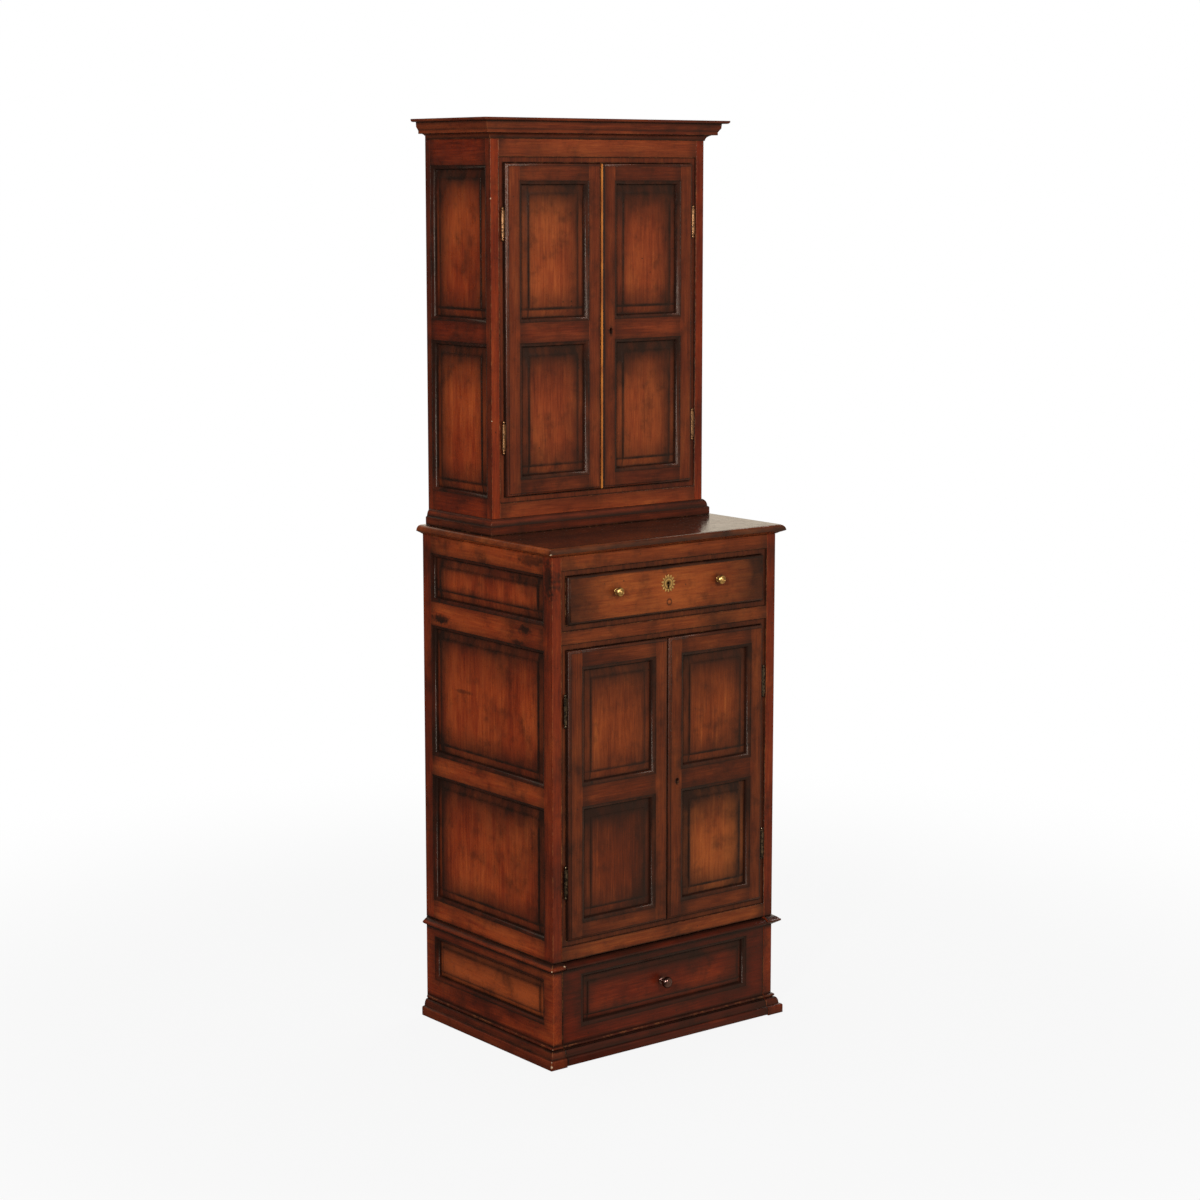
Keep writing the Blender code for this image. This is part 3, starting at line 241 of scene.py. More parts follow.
# Tone of the loose panels, and strengths of the painted shade and glaze along their edges
PANEL_LOOKS = {
    "upper_left_door_top_panel": (0.70, EVEN_SHADE),
    "upper_left_door_bottom_panel": (0.64, (1.3, 1.0, 0.8, 1.1)),
    "upper_right_door_top_panel": (0.58, (0.8, 1.2, 1.1, 1.1)),
    "upper_right_door_bottom_panel": (0.76, (0.8, 1.2, 0.9, 1.1)),
    "lower_left_door_top_panel": (0.55, (0.8, 0.7, 0.7, 0.9)),
    "lower_left_door_bottom_panel": (0.36, (0.8, 1.2, 1.0, 1.2)),
    "lower_right_door_top_panel": (0.54, (1.2, 1.0, 1.0, 1.0)),
    "lower_right_door_bottom_panel": (0.86, (1.6, 1.3, 1.2, 1.1)),
}
SHADE_ROOM = (0.10, 0.17)  # a field with less width or height than this has narrower shade
SHADE_DRIFT = 0.026  # how far the edge of the shade wanders
SHADE_SHIFT = 3.7  # between the noise of its two directions
SHADE_START = 0.002  # distance in which it sets in
SHADE_FREE = (-0.002, 0.020)  # it starts to wander between these distances from the field's edge
# Dark fades: reaches along u and v, and strength
DRAWER_FADE = (0.150, 0.009, 1.0)
DRAWER_FADE_IN = 0.025  # its right end starts this far in
SLAB_FADE = (1.0, 0.020, 0.97)
FAR = 1.0  # puts the other edges out of reach
CORNER_REACH = (0.036, 0.06)
CORNER_OVER = 0.05  # the corners' fade runs past the foot and head
CORNER_SHADE = {"upper": 0.70, "lower": 0.40}  # strength of the dark along the corners of the sides
FRONT_SHADE = {"upper": 0.0, "lower": 0.85}  # share of it on their front edges
FADE_TURN = (0.3, 0.7)  # a face looks another way below these cosines
BACK_TURN = (-0.6, -0.2)  # faces turned away have little glaze and painted shade
BACK_GLAZE_AND_SHADE = 0.15
RAIL_END, RAIL_DARK = 0.032, 0.45  # reach and strength of the dark at the ends of rails
# most painted shade and glaze along a panel's edges
SHADE_MOST = 0.97
RING_DARK = 0.85
BLOT_CORE = 0.35  # share of a blot that is fully dark
CHIP_DEPTH = 0.95
# Clouds of glaze: noise, the levels between which they set in, and strength
GLAZE_CLOUDS = (((6, 4, 0.62), (0.46, 0.74), 0.55), ((24, 4, 0.7), (0.50, 0.72), 0.34))
# Clear band of the plinth: distance from the base, from the nose, and its glaze and painted shade
PLINTH_CLEAR = (0.007, 0.010, 0.06)

# Dark glaze and painted shade as (distance, amount) points, by the distance in from an opening or edge; the
# darkest lines are painted shadow in gaps and at steps
STRIP_LINES = ((-0.038, 0.0), (-0.015, 0.20), (-0.002, 0.42), (-0.0006, 0.70), (0.0006, 0.96),
               (0.0022, 0.52), (0.0085, 0.44), (0.0115, 0.90), (STRIP, 0.98))
# the lower case's sunk strips get darker painted shade
DARK_STRIP_LINES = (*STRIP_LINES[:5], (0.0022, 0.66), (0.0085, 0.62), *STRIP_LINES[7:])
EDGE_LINES = ((0.0, 0.97), (0.001, 0.80), (0.003, 0.66), (0.005, 0.76), (0.0057, 0.93), (0.0066, 0.50),
              (0.014, 0.28), (0.034, 0.0))
DRAWER_EDGE_LINES = ((0.0, 0.97), (0.001, 0.90), (0.003, 0.84), (0.0048, 0.86), (0.0056, 0.20),
                     (0.014, 0.12), (0.034, 0.0))
SEAM_LINES = ((0.0, 0.97), (0.0014, 0.92), (0.003, 0.45), (0.012, 0.15), (0.030, 0.0))
# the slab's top is painted darker than its edges: glaze and painted shade
SLAB_TOP_LINES = ((0.0, 0.0), (0.006, 0.10), (0.010, 0.97), (0.015, 0.96), (0.040, 0.95))
# painted shadow in the gap over the plinth
GAP_LINES = ((0.0, 0.97), (0.0016, 0.90), (0.0035, 0.35), (0.011, 0.0))
# The same by shares of a fade's reach
FADE_LINES = ((0.0, 0.86), (0.14, 0.70), (0.5, 0.32), (1.0, 0.0))
# The same by shares of a moulding's height
CORNICE_LINES = ((0.0, 0.97), (0.08, 0.80), (0.16, 0.45), (0.25, 0.55), (0.285, 0.97), (0.31, 0.30),
                 (0.40, 0.20), (0.47, 0.75), (0.55, 0.35), (0.66, 0.30), (0.80, 0.70), (0.845, 0.97),
                 (0.88, 0.45), (0.95, 0.20), (1.0, 0.60))
FOOT_LINES = ((0.0, 0.97), (0.05, 0.80), (0.14, 0.35), (0.34, 0.25), (0.43, 0.60), (0.475, 0.35),
              (0.51, 0.98), (0.58, 0.95), (0.66, 0.60), (0.76, 0.10), (0.84, 0.05), (0.90, 0.70),
              (0.94, 0.40), (1.0, 0.97))
SLAB_LINES = ((0.0, 0.98), (0.30, 0.90), (0.40, 0.55), (0.55, 0.20), (1.0, 0.10))
BASE_LINES = ((0.0, 0.75), (0.12, 0.55), (0.30, 0.48), (0.42, 0.45), (0.465, 0.97), (0.54, 0.75),
              (0.72, 0.58), (0.80, 0.96), (0.84, 0.92), (0.92, 0.55), (1.0, 0.97))
NOSE_LINES = ((0.0, 0.97), (0.25, 0.88), (0.42, 0.66), (0.60, 0.42), (0.72, 0.50), (0.86, 0.93),
              (1.0, 0.97))


# Shader nodes

class Graph:
    """Writes shader nodes as expressions. Values are sockets or plain numbers."""

    def __init__(self, tree):
        self.tree = tree

    def add(self, kind, values=(), **settings):
        node = self.tree.nodes.new(kind)
        for name, value in settings.items():
            setattr(node, name, value)
        for key, value in dict(values).items():
            self.feed(node.inputs[key], value)
        return node

    def feed(self, socket, value):
        if isinstance(value, bpy.types.NodeSocket):
            self.tree.links.new(value, socket)
        else:
            socket.default_value = value

    def math(self, operation, *values, clamp=False):
        return self.add("ShaderNodeMath", enumerate(values), operation=operation, use_clamp=clamp).outputs[0]

    def times(self, first, second):
        return self.math("MULTIPLY", first, second)

    def more(self, value, weight, start):
        """start plus a weighted value."""
        return self.math("MULTIPLY_ADD", value, weight, start)

    def minus(self, first, second):
        return self.math("SUBTRACT", first, second)

    def away(self, value, centre):
        """Distance of a value from a centre."""
        return self.math("ABSOLUTE", self.minus(value, centre))

    def vary(self, start, *terms):
        """start plus every (weight, value) term, each value counted from its middle of one half."""
        for weight, value in terms:
            start = self.more(self.minus(value, 0.5), weight, start)
        return start

    def vector(self, operation, *values):
        return self.add("ShaderNodeVectorMath", enumerate(values), operation=operation).outputs[0]

    def measure(self, operation, *values):
        """Number that comes from vectors, such as a distance or a dot product."""
        return self.add("ShaderNodeVectorMath", enumerate(values), operation=operation).outputs["Value"]

    def split(self, vector):
        return self.add("ShaderNodeSeparateXYZ", {0: vector}).outputs

    def join(self, x, y, z):
        return self.add("ShaderNodeCombineXYZ", {0: x, 1: y, 2: z}).outputs[0]

    def stretch(self, place, share):
        """Place squeezed along its third coordinate, so that a texture there runs long."""
        return self.vector("MULTIPLY", place, (1.0, 1.0, share))

    def noise(self, place, scale, detail=2.0, roughness=0.5, distortion=0.0):
        values = {"Vector": place, "Scale": scale, "Detail": detail, "Roughness": roughness}
        values["Distortion"] = distortion
        return self.add("ShaderNodeTexNoise", values).outputs["Fac"]

    def spread(self, value, low, high, start=0.0, end=1.0, smooth=True):
        values = {"Value": value, "From Min": low, "From Max": high, "To Min": start, "To Max": end}
        kind = "SMOOTHSTEP" if smooth else "LINEAR"
        return self.add("ShaderNodeMapRange", values, interpolation_type=kind).outputs["Result"]

    def ramp(self, value, stops):
        """Colour through (position, colour) stops."""
        node = self.add("ShaderNodeValToRGB", {0: value})
        elements = node.color_ramp.elements
        elements.remove(elements[1])
        elements[0].position = stops[0][0]
        elements[0].color = (*stops[0][1], 1.0)
        for position, colour in stops[1:]:
            elements.new(position).color = (*colour, 1.0)
        return node.outputs["Color"]

    def curve(self, value, points):
        """Amount through (place, amount) points, straight between them."""
        low, high = points[0][0], points[-1][0]
        share = self.spread(value, low, high, smooth=False)
        stops = [((place - low) / (high - low), (amount,) * 3) for place, amount in points]
        return self.ramp(share, stops)

    def mix(self, share, first, second):
        node = self.add("ShaderNodeMix", {0: share}, data_type="RGBA")
        for index, colour in ((6, first), (7, second)):
            self.feed(node.inputs[index], (*colour, 1.0) if isinstance(colour, tuple) else colour)
        return node.outputs[2]

    def pick(self, share, first, second):
        """First vector where share is 0, second where it is 1."""
        return self.add("ShaderNodeMix", {0: share, 4: first, 5: second}, data_type="VECTOR").outputs[1]

    def most(self, values):
        result = values[0]
        for value in values[1:]:
            result = self.math("MAXIMUM", result, value)
        return result

    def layer(self, values):
        """Amounts laid over each other, each covering its share of what is still free."""
        free = self.minus(1.0, values[0])
        for value in values[1:]:
            free = self.times(free, self.minus(1.0, value))
        return self.minus(1.0, free)


def new_material(name):
    """Empty material and its graph."""
    material = bpy.data.materials.new(name)
    material.use_nodes = True
    material.node_tree.nodes.clear()
    return material, Graph(material.node_tree)


def new_group(name, inputs, outputs):
    """Empty shader group with its sockets."""
    group = bpy.data.node_groups.new(name, "ShaderNodeTree")
    for direction, sockets in (("INPUT", inputs), ("OUTPUT", outputs)):
        for label, kind in sockets:
            group.interface.new_socket(label, in_out=direction, socket_type="NodeSocket" + kind)
    return group


# Wood

def grain_tone(graph, place, tone):
    """Lightness of the stain: fine streaks along the grain, broad figure and clouds."""
    layers = [(weight, graph.noise(graph.stretch(place, run), *kind)) for run, *kind, weight in GRAIN_LAYERS]
    return graph.vary(tone, *layers)


def dark_specks(graph, place):
    """Small round holes, fly marks and short ticks along the grain."""
    cell = graph.add("ShaderNodeTexVoronoi", {"Vector": place, "Scale": SPECK_SCALE})
    chance = graph.split(cell.outputs["Color"])[0]
    size = graph.spread(chance, SPECK_CHANCE, 1.0, 0.0, SPECK_SIZE, smooth=False)
    ticks = graph.spread(graph.noise(graph.stretch(place, TICK_RUN), *TICK_NOISE), *TICK_EDGE)
    return graph.math("MAXIMUM", graph.math("LESS_THAN", cell.outputs["Distance"], size), ticks)


def stained_wood(name, stain):
    """Group for wood with the grain along the vector's third coordinate, under stain and dark glazing that
    also carries painted shade.
    """
    floats = [(label, "Float") for label in ("Glaze and shade", "Wear", "Chip", "Tone", "Gloss")]
    group = new_group(name, [("Vector", "Vector"), *floats],
                      [("Color", "Color"), ("Roughness", "Float"), ("Height", "Float")])
    graph = Graph(group)
    given = graph.add("NodeGroupInput").outputs
    place = given["Vector"]
    pore = graph.spread(graph.noise(graph.stretch(place, PORE_RUN), *PORE_NOISE), *PORE_EDGE)
    skin = graph.noise(place, *SKIN_NOISE)
    wave = graph.noise(place, *WAVE_NOISE)
    lump = graph.noise(place, *LUMP_NOISE)
    speck = dark_specks(graph, place)
    uneven = graph.vary(1.0, (UNEVEN, graph.noise(graph.stretch(place, UNEVEN_RUN), *UNEVEN_NOISE)))
    # dark glaze and painted shade, made uneven
    glaze_and_shade = graph.math("MULTIPLY", given["Glaze and shade"], uneven, clamp=True)
    rub = graph.spread(graph.noise(place, *RUB_NOISE), *RUB_EDGE, 0.0, RUB_WORN)
    ragged = graph.vary(given["Chip"], (CHIP_RAGGED, graph.noise(place, *CHIP_NOISE)))
    chip = graph.spread(ragged, *CHIP_EDGE)
    colour = graph.ramp(grain_tone(graph, place, given["Tone"]), stain)
    layers = ((graph.times(pore, PORE_DARK), GLAZE_AND_SHADE), (glaze_and_shade, GLAZE_AND_SHADE),
              (graph.times(given["Wear"], rub), WORN_EDGE),
              (graph.times(speck, SPECK_DARK), SPECK), (chip, BARE_WOOD))
    for share, layer in layers:
        colour = graph.mix(share, colour, layer)
    rough = graph.vary(given["Gloss"], (ROUGH_SKIN, skin), (ROUGH_PORE, pore), (ROUGH_LUMP, lump))
    rough = graph.more(chip, ROUGH_CHIP, rough)
    height = graph.vary(0.5, (BUMP_SKIN, skin), (BUMP_WAVE, wave), (graph.times(glaze_and_shade, THICK_LUMPS), lump))
    for amount, value in ((BUMP_PORE, pore), (BUMP_SPECK, speck), (BUMP_CHIP, chip)):
        height = graph.more(value, amount, height)
    graph.add("NodeGroupOutput", {"Color": colour, "Roughness": rough, "Height": height})
    return group


def panel_lines(bevel):
    """Dark glazing and painted shade by distance inside a panel opening: rail edge, moulding, bevel and the
    step to the field, with painted shadow lines at the moulding's edges and at the step.
    """
    field = MOULDING + bevel
    return ((-0.030, 0.0), (-0.016, 0.17), (-0.006, 0.40), (-0.0014, 0.58), (-0.0003, 0.97),
            (0.0012, 0.82), (0.0032, 0.55), (0.0060, 0.60), (MOULDING - 0.0012, 0.92),
            (MOULDING + 0.0006, 0.97), (MOULDING + 0.0022, 0.55), (MOULDING + 0.005, 0.22),
            (field - 0.005, 0.12), (field - 0.0014, 0.50), (field + 0.0010, 0.50), (field + 0.006, 0.0))


def shade_runs(field):
    """Painted shade and glazing across a panel from each side of its opening inward: left, right, foot and
    head, the head darkest.
    """
    left = ((0.0, 0.45), (field - 0.0022, 0.48), (field - 0.0012, 0.94), (field + 0.0010, 0.94),
            (field + 0.0028, 0.30), (field + 0.012, 0.16), (field + 0.028, 0.0))
    right = ((0.0, 0.60), (field - 0.008, 0.36), (field - 0.001, 0.72), (field + 0.020, 0.30),
             (field + 0.046, 0.0))
    foot = ((0.0, 0.55), (field - 0.003, 0.34), (field - 0.0012, 0.94), (field + 0.0012, 0.94),
            (field + 0.004, 0.55), (field + 0.048, 0.0))
    head = ((0.0, 0.80), (field + 0.001, 0.82), (field + 0.030, 0.40), (field + 0.088, 0.0))
    return left, right, foot, head


@dataclass
class Finish:
    """Where a wooden piece carries its grain, glazing and painted shade, painted light on one door edge, wear
    and marks.
    """

    plane: str  # the side that shows: front, left, right or top
    grain: str  # up, across, deep, frame or mitred
    windows: tuple = ()  # openings as u0, u1, v0, v1
    lines: tuple = ()  # dark glaze and painted shade by distance inside the windows
    bevel: float = 0.0  # width of the bevels of panels in the windows
    shades: tuple = ()  # strengths of the painted shade and glaze along the four edges of each panel
    lit_edge: tuple = ()  # band between two places along u that is painted as lit
    edge: tuple = ()  # outline of a moulded outer edge
    edge_lines: tuple = EDGE_LINES  # dark glaze and painted shade by distance inside that outline
    fade: tuple = ()  # outline, reaches along u and v, and strength of dark ends
    fade_front: float = 1.0  # share of it on faces that look another way
    levels: tuple = ()  # dark glaze and painted shade by height
    corner: tuple = ()  # case half width and front of mitred runs
    blots_and_shade: tuple = ()  # dark blots, painted keyhole shade, painted shade under the shield and knob halos of dirt and painted shadow
    rings: tuple = ()  # lines round plugged holes
    seams: tuple = ()  # dark upright joints, and the painted shadow line beside the painted lit door edge, by x
    tone: float = INNER_TONE
    rail_tone: float = 0.0  # change of tone on rails
    panel_tone: float = 0.0  # change of tone inside the windows
    gloss: float = WOOD_GLOSS
    specular: float = WOOD_SPECULAR


def inset(graph, u, v, rect, reach_u=1.0, reach_v=1.0):
    """Distance inside a rectangle, negative outside it, measured in the two reaches."""
    sides = []
    for value, low, high, reach in ((u, rect[0], rect[1], reach_u), (v, rect[2], rect[3], reach_v)):
        away = graph.away(value, (low + high) / 2)
        sides.append(graph.math("DIVIDE", graph.minus((high - low) / 2, away), reach))
    return graph.math("MINIMUM", *sides)


def between(graph, value, low, high):
    """1 where a value lies between two limits."""
    return graph.math("COMPARE", value, (low + high) / 2, (high - low) / 2)


def rail_mask(graph, finish, u, depth):
    """1 on the rails of a framed piece, which run between its stiles."""
    low, high = finish.windows[0][:2]
    return graph.times(between(graph, u, low, high), graph.math("LESS_THAN", depth, 0.0))


def grain_vector(graph, finish, place, u, depth, seed):
    """Coordinates whose third part runs along the grain."""
    x, y, z = graph.split(place)
    across = graph.join(z, y, x)
    deep = graph.join(x, z, y)
    if finish.grain == "frame":
        level = across if finish.plane == "front" else deep
        result = graph.pick(rail_mask(graph, finish, u, depth), place, level)
    elif finish.grain == "mitred":
        half, front = finish.corner
        beside = graph.minus(graph.math("ABSOLUTE", x), half)
        before = graph.minus(front, y)
        result = graph.pick(graph.math("GREATER_THAN", beside, before), across, deep)
    else:
        result = {"up": place, "across": across, "deep": deep}[finish.grain]
    return graph.vector("ADD", result, tuple(step * seed for step in SEED_STEP))


def shade_points(low, high, field, room, runs, strengths):
    """Painted shade and glazing along one coordinate of an opening, from its low side to its high side."""
    share = min(1.0, (high - low - 2 * field) / room)
    points = []
    for start, sign, run, strength in zip((low, high), (1, -1), runs, strengths):
        side = []
        for inset_by, amount in run:
            kept = min(inset_by, field) + max(inset_by - field, 0.0) * share
            side.append((start + sign * kept, min(SHADE_MOST, amount * strength)))
        points += side[::sign]
    return points


def panel_shade(graph, finish, place, u, v, depth):
    """Painted shade and glazing along the edges of the panels, each side with its own reach, with wandering
    borders.
    """
    field = MOULDING + finish.bevel
    runs = shade_runs(field)
    shades = finish.shades or [EVEN_SHADE] * len(finish.windows)
    left, right = finish.windows[0][:2]
    across = shade_points(left, right, field, SHADE_ROOM[0], runs[:2], shades[0][:2])
    upward = []
    for window, shade in zip(finish.windows, shades):
        upward += shade_points(*window[2:], field, SHADE_ROOM[1], runs[2:], shade[2:])
    inside = graph.spread(depth, 0.0, SHADE_START)
    free = graph.spread(depth, field + SHADE_FREE[0], field + SHADE_FREE[1])
    layers = []
    for value, points, shift in ((u, across, 0.0), (v, upward, SHADE_SHIFT)):
        noise = graph.noise(graph.vector("ADD", place, (shift, shift, shift)), *DRIFT_NOISE)
        drift = graph.times(graph.minus(noise, 0.5), SHADE_DRIFT)
        layers.append(graph.times(graph.curve(graph.more(drift, free, value), points), inside))
    return layers


def blot_and_shade_mark(graph, place, u, v, mark):
    """One dark mark with a ragged edge, for real blots, painted shade at keyholes and the shield, and knob
    halos of dirt and painted shadow.
    """
    mark_u, mark_v, reach_u, reach_v, strength = mark
    away_u = graph.math("DIVIDE", graph.minus(u, mark_u), reach_u)
    away_v = graph.math("DIVIDE", graph.minus(v, mark_v), reach_v)
    away = graph.measure("LENGTH", graph.join(away_u, away_v, 0.0))
    away = graph.vary(away, (BLOT_RAGGED, graph.noise(place, *BLOT_NOISE)))
    return graph.spread(away, BLOT_CORE, 1.0, strength, 0.0)


def ring_mark(graph, u, v, ring):
    """Dark line round a plugged hole."""
    ring_u, ring_v, radius, width = ring
    away = graph.measure("DISTANCE", graph.join(u, v, 0.0), (ring_u, ring_v, 0.0))
    return graph.spread(graph.away(away, radius), 0.0, width, RING_DARK, 0.0)


def fade_shade(graph, finish, place, u, v, facing):
    """Dark ends of a piece, with ragged borders."""
    rect, reach_u, reach_v, strength = finish.fade
    share = inset(graph, u, v, rect, reach_u, reach_v)
    share = graph.vary(share, (FADE_RAGGED, graph.noise(place, *FADE_NOISE)))
    shade = graph.times(graph.curve(share, FADE_LINES), strength)
    if finish.fade_front < 1.0:
        shade = graph.times(shade, graph.spread(facing, *FADE_TURN, finish.fade_front, 1.0))
    return shade


def rail_ends(graph, finish, u, depth):
    """Dark ends of the rails, where they meet the stiles."""
    low, high = finish.windows[0][:2]
    half = (high - low) / 2
    ends = graph.spread(graph.away(u, (low + high) / 2), half - RAIL_END, half, 0.0, RAIL_DARK)
    return graph.times(ends, rail_mask(graph, finish, u, depth))


def glaze_and_shade_amount(graph, finish, place, u, v, depth, facing):
    """Dark glazing in the recesses, along edges and in clouds, with painted shade in the recesses, gaps and
    along the sides of panels.
    """
    layers = [graph.spread(graph.noise(place, *kind), *edge, 0.0, amount)
              for kind, edge, amount in GLAZE_CLOUDS]
    if finish.windows:
        layers.append(graph.curve(depth, finish.lines))
    if finish.bevel:
        layers += panel_shade(graph, finish, place, u, v, depth)
    if finish.grain == "frame":
        layers.append(rail_ends(graph, finish, u, depth))
    if finish.edge:
        layers.append(graph.curve(inset(graph, u, v, finish.edge), finish.edge_lines))
    if finish.fade:
        layers.append(fade_shade(graph, finish, place, u, v, facing))
    x, y, z = graph.split(place)
    if finish.levels:
        layers.append(graph.curve(z, finish.levels))
    layers += [blot_and_shade_mark(graph, place, u, v, mark) for mark in finish.blots_and_shade]
    layers += [ring_mark(graph, u, v, ring) for ring in finish.rings]
    layers += [graph.curve(graph.away(x, seam), SEAM_LINES) for seam in finish.seams]
    glaze_and_shade = graph.layer(layers)
    # the painted lit door edge keeps little glaze and painted shade
    if finish.lit_edge:
        glaze_and_shade = graph.more(graph.times(glaze_and_shade, lit_edge_mask(graph, finish, u)), -LIT_EDGE_CLEAR, glaze_and_shade)
    return glaze_and_shade


def lit_edge_mask(graph, finish, u):
    """1 on the band of a door edge that is painted as lit."""
    return between(graph, u, *finish.lit_edge)


def wood_tone(graph, finish, u, depth):
    """Lightness of the stain on stiles, rails and panels."""
    tone = finish.tone
    if finish.rail_tone:
        tone = graph.more(rail_mask(graph, finish, u, depth), finish.rail_tone, tone)
    if finish.panel_tone:
        tone = graph.more(graph.math("GREATER_THAN", depth, MOULDING), finish.panel_tone, tone)
    return tone


def wood_gloss(graph, finish, u):
    """Roughness of the varnish, raised on the painted lit door edge and on a band beside it."""
    if not finish.lit_edge:
        return finish.gloss
    dull = between(graph, u, finish.lit_edge[0], finish.lit_edge[1] + LIT_EDGE_DULL)
    return graph.more(dull, LIT_EDGE_ROUGH, finish.gloss)


def wood_material(node, group, finish, seed):
    """Material of one wooden piece."""
    material, graph = new_material(node + "_look")
    source = graph.add("ShaderNodeTexCoord").outputs
    place = source["Object"]
    x, y, z = graph.split(place)
    out_x, out_y, out_z = graph.split(source["Normal"])
    u, v, out, sign = {"front": (x, z, out_y, -1.0), "left": (y, z, out_x, -1.0),
                       "right": (y, z, out_x, 1.0), "top": (x, y, out_z, 1.0)}[finish.plane]
    depth = graph.most([inset(graph, u, v, rect) for rect in finish.windows]) if finish.windows else None
    facing = graph.times(out, sign)
    shown = graph.spread(facing, *BACK_TURN, BACK_GLAZE_AND_SHADE, 1.0)
    chips = [graph.spread(graph.measure("DISTANCE", place, point), 0.0, radius, CHIP_DEPTH, 0.0, smooth=False)
             for *point, radius in CHIPS.get(node, ())]
    wood = graph.add("ShaderNodeGroup", node_tree=group)
    values = {"Vector": grain_vector(graph, finish, place, u, depth, seed),
              "Glaze and shade": graph.times(glaze_and_shade_amount(graph, finish, place, u, v, depth, facing), shown),
              "Wear": graph.add("ShaderNodeAttribute", attribute_name="worn").outputs["Fac"],
              "Chip": graph.most(chips) if chips else 0.0,
              "Tone": wood_tone(graph, finish, u, depth),
              "Gloss": wood_gloss(graph, finish, u)}
    for label, value in values.items():
        graph.feed(wood.inputs[label], value)
    colour = wood.outputs["Color"]
    # painted light on one door's meeting edge
    if finish.lit_edge:
        lit_share = graph.spread(graph.noise(place, *DRIFT_NOISE), *LIT_EDGE_LEVELS, *LIT_EDGE_RANGE)
        colour = graph.mix(graph.times(lit_edge_mask(graph, finish, u), lit_share), colour, LIT_EDGE_COLOUR)
    bump = graph.add("ShaderNodeBump", {**WOOD_BUMP, "Height": wood.outputs["Height"]})
    shader = graph.add("ShaderNodeBsdfPrincipled", {
        "Base Color": colour, "Roughness": wood.outputs["Roughness"], "Normal": bump.outputs["Normal"],
        "Specular IOR Level": finish.specular, "Specular Tint": (*VARNISH_TINT, 1.0)})
    graph.add("ShaderNodeOutputMaterial", {"Surface": shader.outputs[0]})
    return material


# Finishes of the wooden pieces

def grow(rect, amount):
    """Rectangle pushed out by the same amount on all four sides."""
    return (rect[0] - amount, rect[1] + amount, rect[2] - amount, rect[3] + amount)


def outline(*nodes):
    """Outline of nodes seen from the front: x0, x1, z0, z1."""
    boxes = [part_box(node) for node in nodes]
    lows, highs = [box[0] for box in boxes], [box[1] for box in boxes]
    return (min(low[0] for low in lows), max(high[0] for high in highs),
            min(low[2] for low in lows), max(high[2] for high in highs))


def middle(node):
    """Height of the middle of a node."""
    low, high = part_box(node)
    return (low[2] + high[2]) / 2


def at_shares(low, high, points):
    """Dark glazing and painted shade by height, from points at shares of a moulding's height."""
    return [(low + share * (high - low), amount) for share, amount in points]


def knob_dirt_and_shade(*knobs):
    """Dark halos round knobs: dirt and painted shadow."""
    rects = [outline(knob) for knob in knobs]
    return [((rect[0] + rect[1]) / 2, (rect[2] + rect[3]) / 2, *KNOB_DARK) for rect in rects]


def painted_keyhole(door):
    """Dark keyhole of a door that has a lock, painted as shade on the wood."""
    if door + "_lock" not in SLOT:
        return ()
    left, right, foot, head = outline(door + "_lock")
    return [(outline(door + "_frame")[0] + KEY_INSET, (foot + head) / 2 - KEY_FALL, *KEY_DARK)]


def door_finishes():
    """Door frames and their loose panels."""
    lines = panel_lines(DOOR_BEVEL)
    finishes = {}
    for door in [case + "_" + hand + "_door" for case in CASES for hand in HANDS]:
        panels = [door + "_bottom_panel", door + "_top_panel"]
        windows = [grow(outline(panel), TONGUE) for panel in panels]
        edge = outline(door + "_frame")
        # one door's meeting edge gets painted light and a painted shadow line beside it
        lit_edge = (edge[0] - FIT, edge[0] + LIT_EDGE_WIDTH) if door == LIT_EDGE_DOOR else ()
        finishes[door + "_frame"] = Finish(
            "front", "frame", windows=windows, lines=lines, bevel=DOOR_BEVEL, edge=edge,
            blots_and_shade=painted_keyhole(door), lit_edge=lit_edge, seams=(lit_edge[1] + LIT_EDGE_SHADOW,) if lit_edge else (),
            tone=DOOR_TONE[door[:5]], rail_tone=DOOR_RAIL_TONE)
        for panel, window in zip(panels, windows):
            tone, shade = PANEL_LOOKS[panel]
            finishes[panel] = Finish("front", "up", windows=[window], lines=lines, bevel=DOOR_BEVEL,
                                     shades=[shade], tone=tone)
    return finishes


def foot_levels(case):
    """Painted shadow line along the foot of the lower case, in the gap over the plinth."""
    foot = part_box("lower_face_frame")[0][2]
    return [(foot + rise, amount) for rise, amount in GAP_LINES] if case == "lower" else ()


def face_frame_finishes():
    """Face frames with their sunk strips."""
    finishes = {}
    for case, lines in (("upper", STRIP_LINES), ("lower", DARK_STRIP_LINES)):
        openings = [grow(outline(case + "_left_door_frame", case + "_right_door_frame"), STRIP)]
        if case == "lower":
            openings.append(grow(outline("top_drawer_front"), STRIP))
        finishes[case + "_face_frame"] = Finish(
            "front", "frame", windows=openings, lines=lines, levels=foot_levels(case),
            tone=FACE_TONE, rail_tone=FACE_RAIL_TONE)
    return finishes


